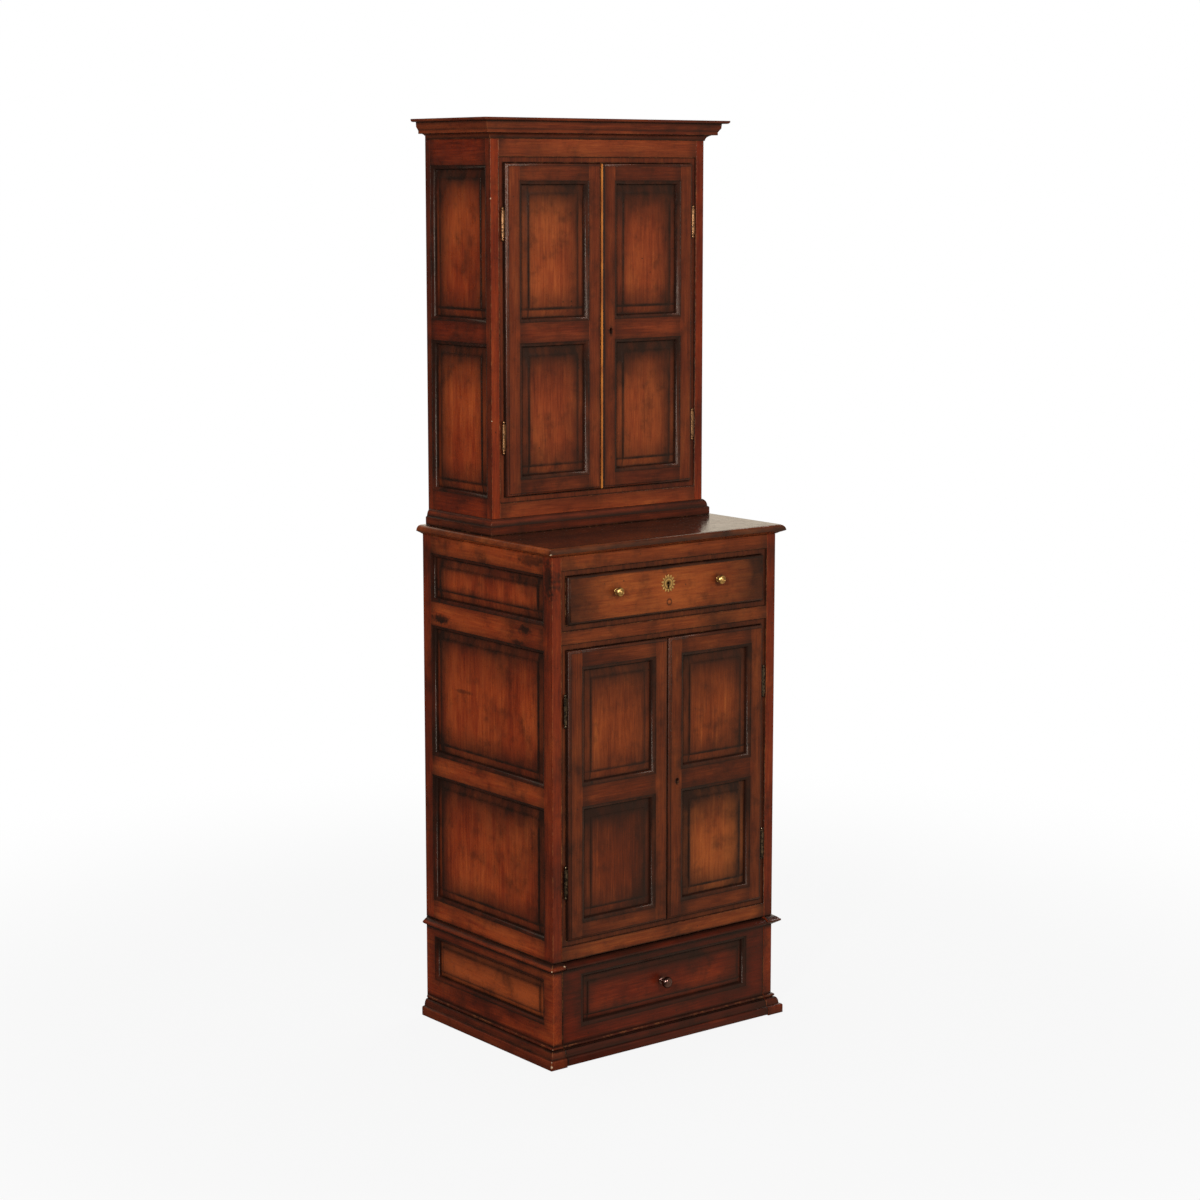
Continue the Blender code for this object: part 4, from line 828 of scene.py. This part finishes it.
def side_finishes():
    """Case sides with their panels."""
    divider = (outline("lower_left_door_frame")[3] + outline("top_drawer_front")[2]) / 2
    half_mid, half_divider = MID_RAIL / 2, SIDE_DIVIDER / 2
    finishes = {}
    for case, (stile, feet, head) in SIDE_FRAME.items():
        mid = middle(case + "_shelf")
        for hand in HANDS:
            node = case + "_" + hand + "_side"
            low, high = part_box(node)
            rails = [(low[2], low[2] + feet), (mid - half_mid, mid + half_mid)]
            if case == "lower":
                rails.append((divider - half_divider, divider + half_divider))
            rails.append((high[2] - head, high[2]))
            windows = [(low[1] + stile, high[1] - stile, under[1], over[0])
                       for under, over in zip(rails, rails[1:])]
            corners = (low[1], high[1], low[2] - CORNER_OVER, high[2] + CORNER_OVER)
            finishes[node] = Finish(
                hand, "frame", windows=windows, lines=panel_lines(DOOR_BEVEL), bevel=DOOR_BEVEL,
                shades=SIDE_SHADES[case], levels=foot_levels(case), blots_and_shade=STAINS.get(node, ()),
                fade=(corners, *CORNER_REACH, CORNER_SHADE[case]), fade_front=FRONT_SHADE[case],
                **SIDE_TONES[case])
    return finishes


def moulding_finishes():
    """Cornice, foot moulding and slab."""
    upper_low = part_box("upper_left_side")[0]
    corner = (-upper_low[0], upper_low[1])
    finishes = {}
    for node, points, tone in (("cornice", CORNICE_LINES, CORNICE_TONE),
                               ("upper_base_moulding", FOOT_LINES, FOOT_TONE)):
        low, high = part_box(node)
        finishes[node] = Finish("front", "mitred", corner=corner, levels=at_shares(low[2], high[2], points),
                                tone=tone)
    low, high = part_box("lower_top")
    nose = (low[0] - FAR, high[0] + FAR, low[1], high[1] + FAR)
    finishes["lower_top"] = Finish(
        "top", "across", windows=[(low[0], high[0], low[1], high[1])], lines=SLAB_TOP_LINES,
        levels=at_shares(low[2], high[2], SLAB_LINES), fade=(nose, *SLAB_FADE),
        tone=SLAB_TONE, gloss=SLAB_GLOSS, specular=SLAB_SPECULAR)
    return finishes


def plinth_finishes():
    """Plinth sides and the drawer front between them."""
    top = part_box("plinth_left")[1][2]
    nose = top - NOSE_HEIGHT
    over_base, under_nose, clear = PLINTH_CLEAR
    levels = [*at_shares(0.0, BASE_TOP, BASE_LINES), (BASE_TOP + over_base, clear),
              (nose - under_nose, clear), *at_shares(nose, top, NOSE_LINES)]
    case_low, case_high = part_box("lower_left_side")
    edge = outline("plinth_drawer_front")
    shared = {"lines": panel_lines(PLINTH_BEVEL), "bevel": PLINTH_BEVEL, "levels": levels, "seams": edge[:2]}
    stile, feet, head = PLINTH_FRAME
    window = (case_low[1] + stile, case_high[1] - stile, BASE_TOP + feet, nose - head)
    finishes = {"plinth_" + hand: Finish(hand, "deep", windows=[window], shades=[PLINTH_SHADE],
                                         **shared, **PLINTH_TONES) for hand in HANDS}
    stile, feet, head = PLINTH_FRONT_FRAME
    window = (edge[0] + stile, edge[1] - stile, BASE_TOP + feet, nose - head)
    finishes["plinth_drawer_front"] = Finish(
        "front", "across", windows=[window], blots_and_shade=knob_dirt_and_shade("plinth_drawer_knob"),
        **shared, **PLINTH_FRONT_TONES)
    return finishes


def drawer_finish():
    """Top drawer's front, bright in the middle and dark at both ends."""
    edge = outline("top_drawer_front")
    blots_and_shade = knob_dirt_and_shade("top_drawer_left_knob", "top_drawer_right_knob")
    # painted shade under the shield, seen between its petals
    left, right, foot, head = outline("top_drawer_keyhole_shield")
    blots_and_shade.append(((left + right) / 2, (foot + head) / 2, *SHIELD_DARK))
    ends = (edge[0], edge[1] - DRAWER_FADE_IN, edge[2], edge[3])
    return Finish("front", "across", edge=edge, edge_lines=DRAWER_EDGE_LINES, fade=(ends, *DRAWER_FADE),
                  rings=[PLUG], blots_and_shade=blots_and_shade, tone=DRAWER_TONE)


def inner_finish(node):
    """Bare wood of backs, shelves, boxes and bottoms."""
    grain = "up" if node.endswith("back") else "deep" if node.endswith("box") else "across"
    return Finish("front", grain, gloss=INNER_GLOSS)


UPPER_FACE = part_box("upper_left_side")[0][1]
LOWER_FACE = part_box("lower_left_side")[0][1]
DOOR_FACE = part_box("lower_left_door_frame")[0][1]

# Chipped spots as x, y, z and radius
CHIPS = {
    "cornice": [(-0.328, UPPER_FACE - 0.041, 1.950, 0.005)],
    "lower_top": [(-0.318, LOWER_FACE - 0.017, 1.082, 0.006)],
    "lower_left_door_frame": [(-0.268, DOOR_FACE, 0.878, 0.010)],
    "lower_right_door_frame": [(0.001, DOOR_FACE, 0.876, 0.006)],
    "top_drawer_front": [(-0.266, DOOR_FACE, 1.030, 0.005)],
    "plinth_left": [(-0.318, LOWER_FACE - 0.015, 0.2125, 0.005), (-0.282, LOWER_FACE - 0.012, 0.2165, 0.004),
                    (-0.322, LOWER_FACE - 0.019, 0.009, 0.006), (-0.309, LOWER_FACE - 0.006, 0.040, 0.003),
                    (-0.3205, LOWER_FACE - 0.0175, 0.019, 0.003)],
    "plinth_drawer_front": [(-0.151, LOWER_FACE, 0.081, 0.004)],
    "upper_left_side": [(-0.287, UPPER_FACE, 1.795, 0.0035), (-0.287, UPPER_FACE, 1.335, 0.003)],
}
# Dark blots as two coordinates, two reaches and a strength
STAINS = {"lower_left_side": [(0.178, 0.8965, 0.045, 0.014, 0.92), (0.105, 0.7475, 0.044, 0.006, 0.55),
                              (-0.123, 0.914, 0.030, 0.013, 0.90), (-0.100, 0.884, 0.030, 0.008, 0.85),
                              (-0.207, 1.025, 0.020, 0.060, 0.92), (-0.150, 1.062, 0.070, 0.018, 0.75),
                              (-0.120, 1.016, 0.070, 0.012, 0.70)]}


# Pieces

def face_width(face):
    """Narrow width of a face."""
    return face.calc_area() / max(edge.calc_length() for edge in face.edges)


def takes_rounding(edge, size):
    """True for a convex edge with room on both sides to be rounded."""
    if len(edge.link_faces) != 2 or edge.calc_length() < EDGE_ROOM * size:
        return False
    if edge.calc_face_angle_signed() < ROUND_FROM:
        return False
    return all(face_width(face) > FACE_ROOM * size for face in edge.link_faces)


def link_object(name, data):
    """New object in the scene."""
    made = bpy.data.objects.new(name, data)
    bpy.context.scene.collection.objects.link(made)
    return made


def place_piece(bm, node, material):
    """Object that stands for a node and moves with its body."""
    mesh = bpy.data.meshes.new(node + "_finished")
    bm.to_mesh(mesh)
    bm.free()
    mesh.materials.append(material)
    mesh.shade_smooth()
    mesh.set_sharp_from_angle(angle=SMOOTH_BELOW)
    piece = link_object(mesh.name, mesh)
    even = piece.modifiers.new("even_normals", "WEIGHTED_NORMAL")
    even.keep_sharp = True
    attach(piece, BODY[node])
    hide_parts(node)


def dressed(node, material, size):
    """Copy of a node with its sharp edges rounded and marked as worn."""
    bm = bmesh.new()
    bm.from_mesh(frame["nodes"][node].data)
    bmesh.ops.remove_doubles(bm, verts=bm.verts, dist=WELD)
    bmesh.ops.dissolve_limit(bm, angle_limit=FLAT, verts=bm.verts, edges=bm.edges)
    worn = bm.faces.layers.float.new("worn")
    edges = [edge for edge in bm.edges if takes_rounding(edge, size)]
    made = bmesh.ops.bevel(bm, geom=edges, offset=size, offset_type="OFFSET", segments=2, profile=0.5,
                           affect="EDGES", clamp_overlap=False)
    for face in made["faces"]:
        face[worn] = 1.0
    place_piece(bm, node, material)


def make_wood():
    """Every wooden piece with its own finish."""
    groups = {"upper_wood": stained_wood("upper_stained_wood", UPPER_STAIN),
              "lower_wood": stained_wood("lower_stained_wood", LOWER_STAIN),
              "inner_wood": stained_wood("inner_plain_wood", INNER_STAIN)}
    side_group = stained_wood("side_stained_wood", SIDE_STAIN)
    finishes = {**door_finishes(), **face_frame_finishes(), **side_finishes(), **moulding_finishes(),
                **plinth_finishes(), "top_drawer_front": drawer_finish()}
    finishes.update({node: inner_finish(node) for node in INNER_NODES})
    for seed, (node, finish) in enumerate(sorted(finishes.items())):
        group = side_group if node.endswith("_side") or node in PLINTH_NODES else groups[SLOT[node]]
        dressed(node, wood_material(node, group, finish, seed), EDGE_ROUND)


# Metal

def metal_material(name, clean, tarnish, rough, dirt, rings=()):
    """Worn metal: clean, with tarnish in patches and in rings seen from the front."""
    material, graph = new_material(name)
    place = graph.add("ShaderNodeTexCoord").outputs["Object"]
    patch = graph.noise(place, *PATCH_NOISE)
    grit = graph.noise(place, *GRIT_NOISE)
    x, y, z = graph.split(place)
    marks = [ring_mark(graph, x, z, ring) for ring in rings]
    low, high = [level - dirt for level in TARNISH_EDGE]
    amount = graph.most([graph.spread(graph.vary(patch, (METAL_GRIT[0], grit)), low, high), *marks])
    colour = graph.mix(amount, clean, tarnish)
    roughness = graph.more(amount, TARNISH_ROUGH, graph.vary(rough, (METAL_GRIT[1], grit)))
    bump = graph.add("ShaderNodeBump", {**METAL_BUMP, "Height": grit})
    shader = graph.add("ShaderNodeBsdfPrincipled", {
        "Base Color": colour, "Metallic": 1.0, "Roughness": roughness, "Normal": bump.outputs["Normal"]})
    graph.add("ShaderNodeOutputMaterial", {"Surface": shader.outputs[0]})
    return material


def arc(centre, radius, start, end, steps, squash=1.0):
    """Points on an arc from start to end in degrees; squash scales the second coordinate."""
    angles = [math.radians(start + (end - start) * step / steps) for step in range(steps + 1)]
    return [(centre[0] + radius * math.cos(angle), centre[1] + squash * radius * math.sin(angle))
            for angle in angles]


def skin_rings(bm, rings):
    """Quads between neighbouring closed rings of points."""
    layers = [[bm.verts.new(point) for point in ring] for ring in rings]
    count = len(rings[0])
    for first, second in zip(layers, layers[1:]):
        for step in range(count):
            following = (step + 1) % count
            bm.faces.new((first[step], first[following], second[following], second[step]))
    return layers


def close_up(bm):
    """Merge doubled points and turn all faces outward."""
    bmesh.ops.remove_doubles(bm, verts=bm.verts, dist=WELD / 10)
    bmesh.ops.recalc_face_normals(bm, faces=bm.faces)


def lathe(bm, profile, centre, axis):
    """Closed body turned from a (radius, distance) profile that starts and ends on the axis."""
    axis = Vector(axis)
    first = Vector((1.0, 0.0, 0.0))
    second = axis.cross(first)
    spokes = [first * math.cos(angle) + second * math.sin(angle)
              for angle in (2 * math.pi * step / LATHE_SIDES for step in range(LATHE_SIDES))]
    rings = [[Vector(centre) + axis * distance + spoke * radius for spoke in spokes]
             for radius, distance in profile]
    skin_rings(bm, rings)
    close_up(bm)


def knob_profile(radius, out, ringed):
    """Spigot, beaded foot, hollow neck and ball head with a ringed face or a small button.

    The numbers are shares of the knob's radius and of how far it stands out.
    """
    profile = [(0.0, -SPIGOT_LENGTH), (SPIGOT_RADIUS, -SPIGOT_LENGTH), (SPIGOT_RADIUS, FIT),
               (0.60 * radius, FIT)]
    profile += arc((0.60 * radius, 0.08 * out), 0.09 * radius, -60, 90, 6)
    profile += arc((0.60 * radius, 0.275 * out), 0.25 * radius, 225, 135, 8, 0.16 * out / (0.25 * radius))
    profile += arc((0.0, 0.68 * out), radius, -66, 52 if ringed else 78, 20, 0.32 * out / radius)
    if ringed:
        profile += [(0.56 * radius, 0.955 * out), (0.50 * radius, 0.915 * out), (0.42 * radius, 0.915 * out)]
        profile += arc((0.0, 0.915 * out), 0.36 * radius, 15, 90, 6, 0.085 * out / (0.36 * radius))
    else:
        profile += [(0.17 * radius, 0.985 * out), (0.13 * radius, out)]
    return [(max(across, 0.0), along) for across, along in profile] + [(0.0, profile[-1][1])]


def make_knob(node, material, ringed):
    """Turned knob in the place of its node."""
    low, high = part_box(node)
    centre = ((low[0] + high[0]) / 2, high[1] - SPIGOT_LENGTH, (low[2] + high[2]) / 2)
    bm = bmesh.new()
    lathe(bm, knob_profile((high[0] - low[0]) / 2, centre[1] - low[1], ringed), centre, (0.0, -1.0, 0.0))
    place_piece(bm, node, material)


def key_radius(angle):
    """Reach of a keyhole from the middle of its round part: a circle over a slot."""
    down = abs(math.remainder(angle + math.pi / 2, 2 * math.pi))
    if down >= math.pi / 2 - TINY:
        return KEY_ROUND
    slot = min(KEY_SLOT / max(math.sin(down), TINY), KEY_DROP / math.cos(down))
    return max(KEY_ROUND, slot)


def petal_radius(angle, root, tip):
    """Outline of a ring of rounded petals."""
    return root + (tip - root) * abs(math.sin(SHIELD_PETALS * angle / 2)) ** PETAL_POWER


def make_shield(node, material):
    """Keyhole shield: deep petals round a grooved, domed plate with a keyhole through it."""
    low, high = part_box(node)
    x, z = (low[0] + high[0]) / 2, (low[2] + high[2]) / 2
    tip, thick = (high[2] - low[2]) / 2, high[1] - low[1]
    angles = [2 * math.pi * step / SHIELD_POINTS for step in range(SHIELD_POINTS)]
    rings = []
    for kind, size, height in SHIELD_PLATE:
        root = SHIELD_ROOT * tip * min(1.0, size + ROOT_EARLY)
        ring = []
        for angle in angles:
            reach = {"key": key_radius(angle) + size,
                     "round": max(size * tip, SHIELD_RIM + key_radius(angle)),
                     "petal": petal_radius(angle, root, size * tip)}[kind]
            ring.append((x + reach * math.cos(angle), high[1] - height * thick, z + reach * math.sin(angle)))
        rings.append(ring)
    bm = bmesh.new()
    skin_rings(bm, rings)
    close_up(bm)
    place_piece(bm, node, material)


def hinge_profile(upper, half):
    """Barrel of one hinge half with a collar and a ball tip, from the joint outward; half is its length."""
    if upper:
        deep = 2 * FIT + PIN_LENGTH
        start = [(0.0, deep), (PIN_RADIUS + FIT, deep), (PIN_RADIUS + FIT, FIT)]
    else:
        start = [(0.0, -PIN_LENGTH), (PIN_RADIUS, -PIN_LENGTH), (PIN_RADIUS, 0.0)]
    radius, waist = BARREL_RADIUS, BARREL_RADIUS - BARREL_SOFT
    first = FIT if upper else 0.0
    groove = [(across, half - fall) for across, fall in zip((radius, waist, waist, radius), COLLAR)]
    barrel = [(waist, first), (radius, first + BARREL_SOFT), *groove,
              (radius, half - BARREL_SOFT), (waist, half)]
    neck = math.degrees(math.asin(TIP_NECK / TIP_RADIUS))
    centre = half + TIP_RADIUS + TIP_NECK / 2
    ball = arc((0.0, centre), TIP_RADIUS, neck - 90, 90, 10)
    return [*start, *barrel, (TIP_NECK, half), *[(max(across, 0.0), along) for across, along in ball]]


def add_leaf(bm, axis, levels, direction):
    """Thin plate from inside the barrel to the leaf's end."""
    along = Vector(direction)
    across = along.cross(Vector((0.0, 0.0, 1.0))) * (LEAF_THICK / 2)
    corners = ((LEAF_START, -1), (LEAF_REACH, -1), (LEAF_REACH, 1), (LEAF_START, 1))
    ends = [axis + along * reach + across * sign for reach, sign in corners]
    rings = [[(end.x, end.y, level) for end in ends] for level in levels]
    layers = skin_rings(bm, rings)
    for layer in layers:
        bm.faces.new(layer)
    bmesh.ops.recalc_face_normals(bm, faces=bm.faces)


def make_hinge_half(node, material):
    """Hinge half: a barrel on the door's pin and a leaf that is let into the wood."""
    low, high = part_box(node)
    upper = node.endswith("door_half")
    case, hand = node.split("_")[:2]
    joint = JOINTS[case + "_" + hand + "_door_hinge"]["pos_m"]
    mid = low[2] - FIT if upper else high[2] - PIN_LENGTH
    half = BARREL_LENGTH / 2
    bm = bmesh.new()
    lathe(bm, hinge_profile(upper, half), (joint[0], joint[1], mid), (0.0, 0.0, 1.0 if upper else -1.0))
    direction = (math.copysign(1.0, -joint[0]), 0.0, 0.0) if upper else (0.0, 1.0, 0.0)
    levels = (mid + FIT, mid + half) if upper else (mid - half, mid)
    add_leaf(bm, Vector((joint[0], joint[1], 0.0)), levels, direction)
    place_piece(bm, node, material)


def brass_rings(node, rings):
    """Dark rings on a round fitting, from (radius, line) shares of its own radius."""
    left, right, foot, head = outline(node)
    size = (head - foot) / 2
    return [((left + right) / 2, (foot + head) / 2, radius * size, line * size) for radius, line in rings]


def make_metal():
    """Hinges, knobs, keyhole shield and locks."""
    hinge_brass = {"upper": metal_material("dull_brass", *DULL_BRASS),
                   "lower": metal_material("dark_brass", *DARK_BRASS)}
    iron = metal_material("aged_iron", *AGED_IRON)
    for node in ("top_drawer_left_knob", "top_drawer_right_knob"):
        brass = metal_material(node + "_brass", *KNOB_BRASS, brass_rings(node, KNOB_RINGS))
        make_knob(node, brass, ringed=True)
    make_knob("plinth_drawer_knob", metal_material("dark_patina", *DARK_PATINA), ringed=False)
    node = "top_drawer_keyhole_shield"
    make_shield(node, metal_material("shield_brass", *SHIELD_BRASS, brass_rings(node, SHIELD_RINGS)))
    for node in SLOT:
        if "_hinge_" in node:
            make_hinge_half(node, hinge_brass[node[:5]])
        elif node.endswith("_lock"):
            dressed(node, iron, FINE_ROUND)


# Stage, light and camera

def mirror_level(graph, direction):
    """What gloss sees: a dim room, lighter to the right of the camera."""
    turn = math.radians(CAMERA_TURN)
    side = (math.sin(turn), -math.cos(turn), 0.0)
    aside = graph.measure("DOT_PRODUCT", graph.vector("NORMALIZE", direction), side)
    return graph.spread(aside, *FRONT_EDGE, SKY_MIRROR, FRONT_MIRROR)


def make_floor():
    """Pale floor that keeps the shadow and turns into the white backdrop."""
    bm = bmesh.new()
    bmesh.ops.create_circle(bm, cap_ends=True, segments=96, radius=FLOOR_RADIUS)
    mesh = bpy.data.meshes.new("floor")
    bm.to_mesh(mesh)
    bm.free()
    floor = link_object("floor", mesh)
    floor.location.z = -FLOOR_DROP
    material, graph = new_material("pale_floor")
    place = graph.add("ShaderNodeTexCoord").outputs["Object"]
    white = graph.spread(graph.measure("LENGTH", place), *FLOOR_FADE, FLOOR_GLOW, 1.0)
    path = graph.add("ShaderNodeLightPath").outputs
    seen = graph.times(path["Is Camera Ray"], white)
    paper = graph.add("ShaderNodeBsdfDiffuse", {"Color": (*FLOOR_COLOUR, 1.0)})
    glow = graph.add("ShaderNodeEmission", {"Color": (1.0, 1.0, 1.0, 1.0), "Strength": 1.0})
    mirror = graph.add("ShaderNodeEmission", {"Color": (*GLOSS_TINT, 1.0),
                                              "Strength": mirror_level(graph, place)})
    surface = paper.outputs[0]
    for share, light in ((seen, glow), (path["Is Glossy Ray"], mirror)):
        surface = graph.add("ShaderNodeMixShader", {0: share, 1: surface, 2: light.outputs[0]}).outputs[0]
    graph.add("ShaderNodeOutputMaterial", {"Surface": surface})
    mesh.materials.append(material)


def make_world():
    """White for the camera and for gloss that faces the backdrop, an even soft level as light."""
    world = bpy.data.worlds.new("studio")
    bpy.context.scene.world = world
    world.use_nodes = True
    world.node_tree.nodes.clear()
    graph = Graph(world.node_tree)
    path = graph.add("ShaderNodeLightPath").outputs
    direction = graph.add("ShaderNodeTexCoord").outputs["Generated"]
    turn = math.radians(CAMERA_TURN)
    ahead = graph.measure("DOT_PRODUCT", direction, (math.sin(turn), math.cos(turn), 0.0))
    mirror = graph.math("MAXIMUM", graph.spread(ahead, *SKY_EDGE), mirror_level(graph, direction))
    gloss = graph.math("MAXIMUM", path["Is Glossy Ray"], path["Is Transmission Ray"])
    level = graph.more(graph.minus(mirror, SKY_LEVEL), gloss, SKY_LEVEL)
    level = graph.math("MAXIMUM", level, path["Is Camera Ray"])
    colour = graph.mix(gloss, (1.0, 1.0, 1.0), GLOSS_TINT)
    background = graph.add("ShaderNodeBackground", {"Color": colour, "Strength": level})
    graph.add("ShaderNodeOutputWorld", {"Surface": background.outputs[0]})


def make_softboxes():
    """Soft lamps aimed at the middle of the cupboard."""
    for name, place, size, power in SOFTBOXES:
        data = bpy.data.lights.new(name, "AREA")
        data.shape = "RECTANGLE"
        data.size, data.size_y = size
        data.energy = power
        lamp = link_object(name, data)
        lamp.location = place
        lamp.rotation_euler = (Vector(AIM) - Vector(place)).to_track_quat("-Z", "Y").to_euler()


def make_camera():
    """Camera at the picture's viewpoint."""
    data = bpy.data.cameras.new("camera")
    data.lens = CAMERA_LENS
    data.sensor_width = CAMERA_SENSOR
    data.shift_y = CAMERA_SHIFT
    camera = link_object("camera", data)
    camera.location = CAMERA_PLACE
    camera.rotation_euler = (math.radians(90 - CAMERA_DIP), 0.0, math.radians(-CAMERA_TURN))
    bpy.context.scene.camera = camera


make_wood()
make_metal()
make_floor()
make_world()
make_softboxes()
make_camera()
bpy.context.scene.view_settings.view_transform = "Standard"
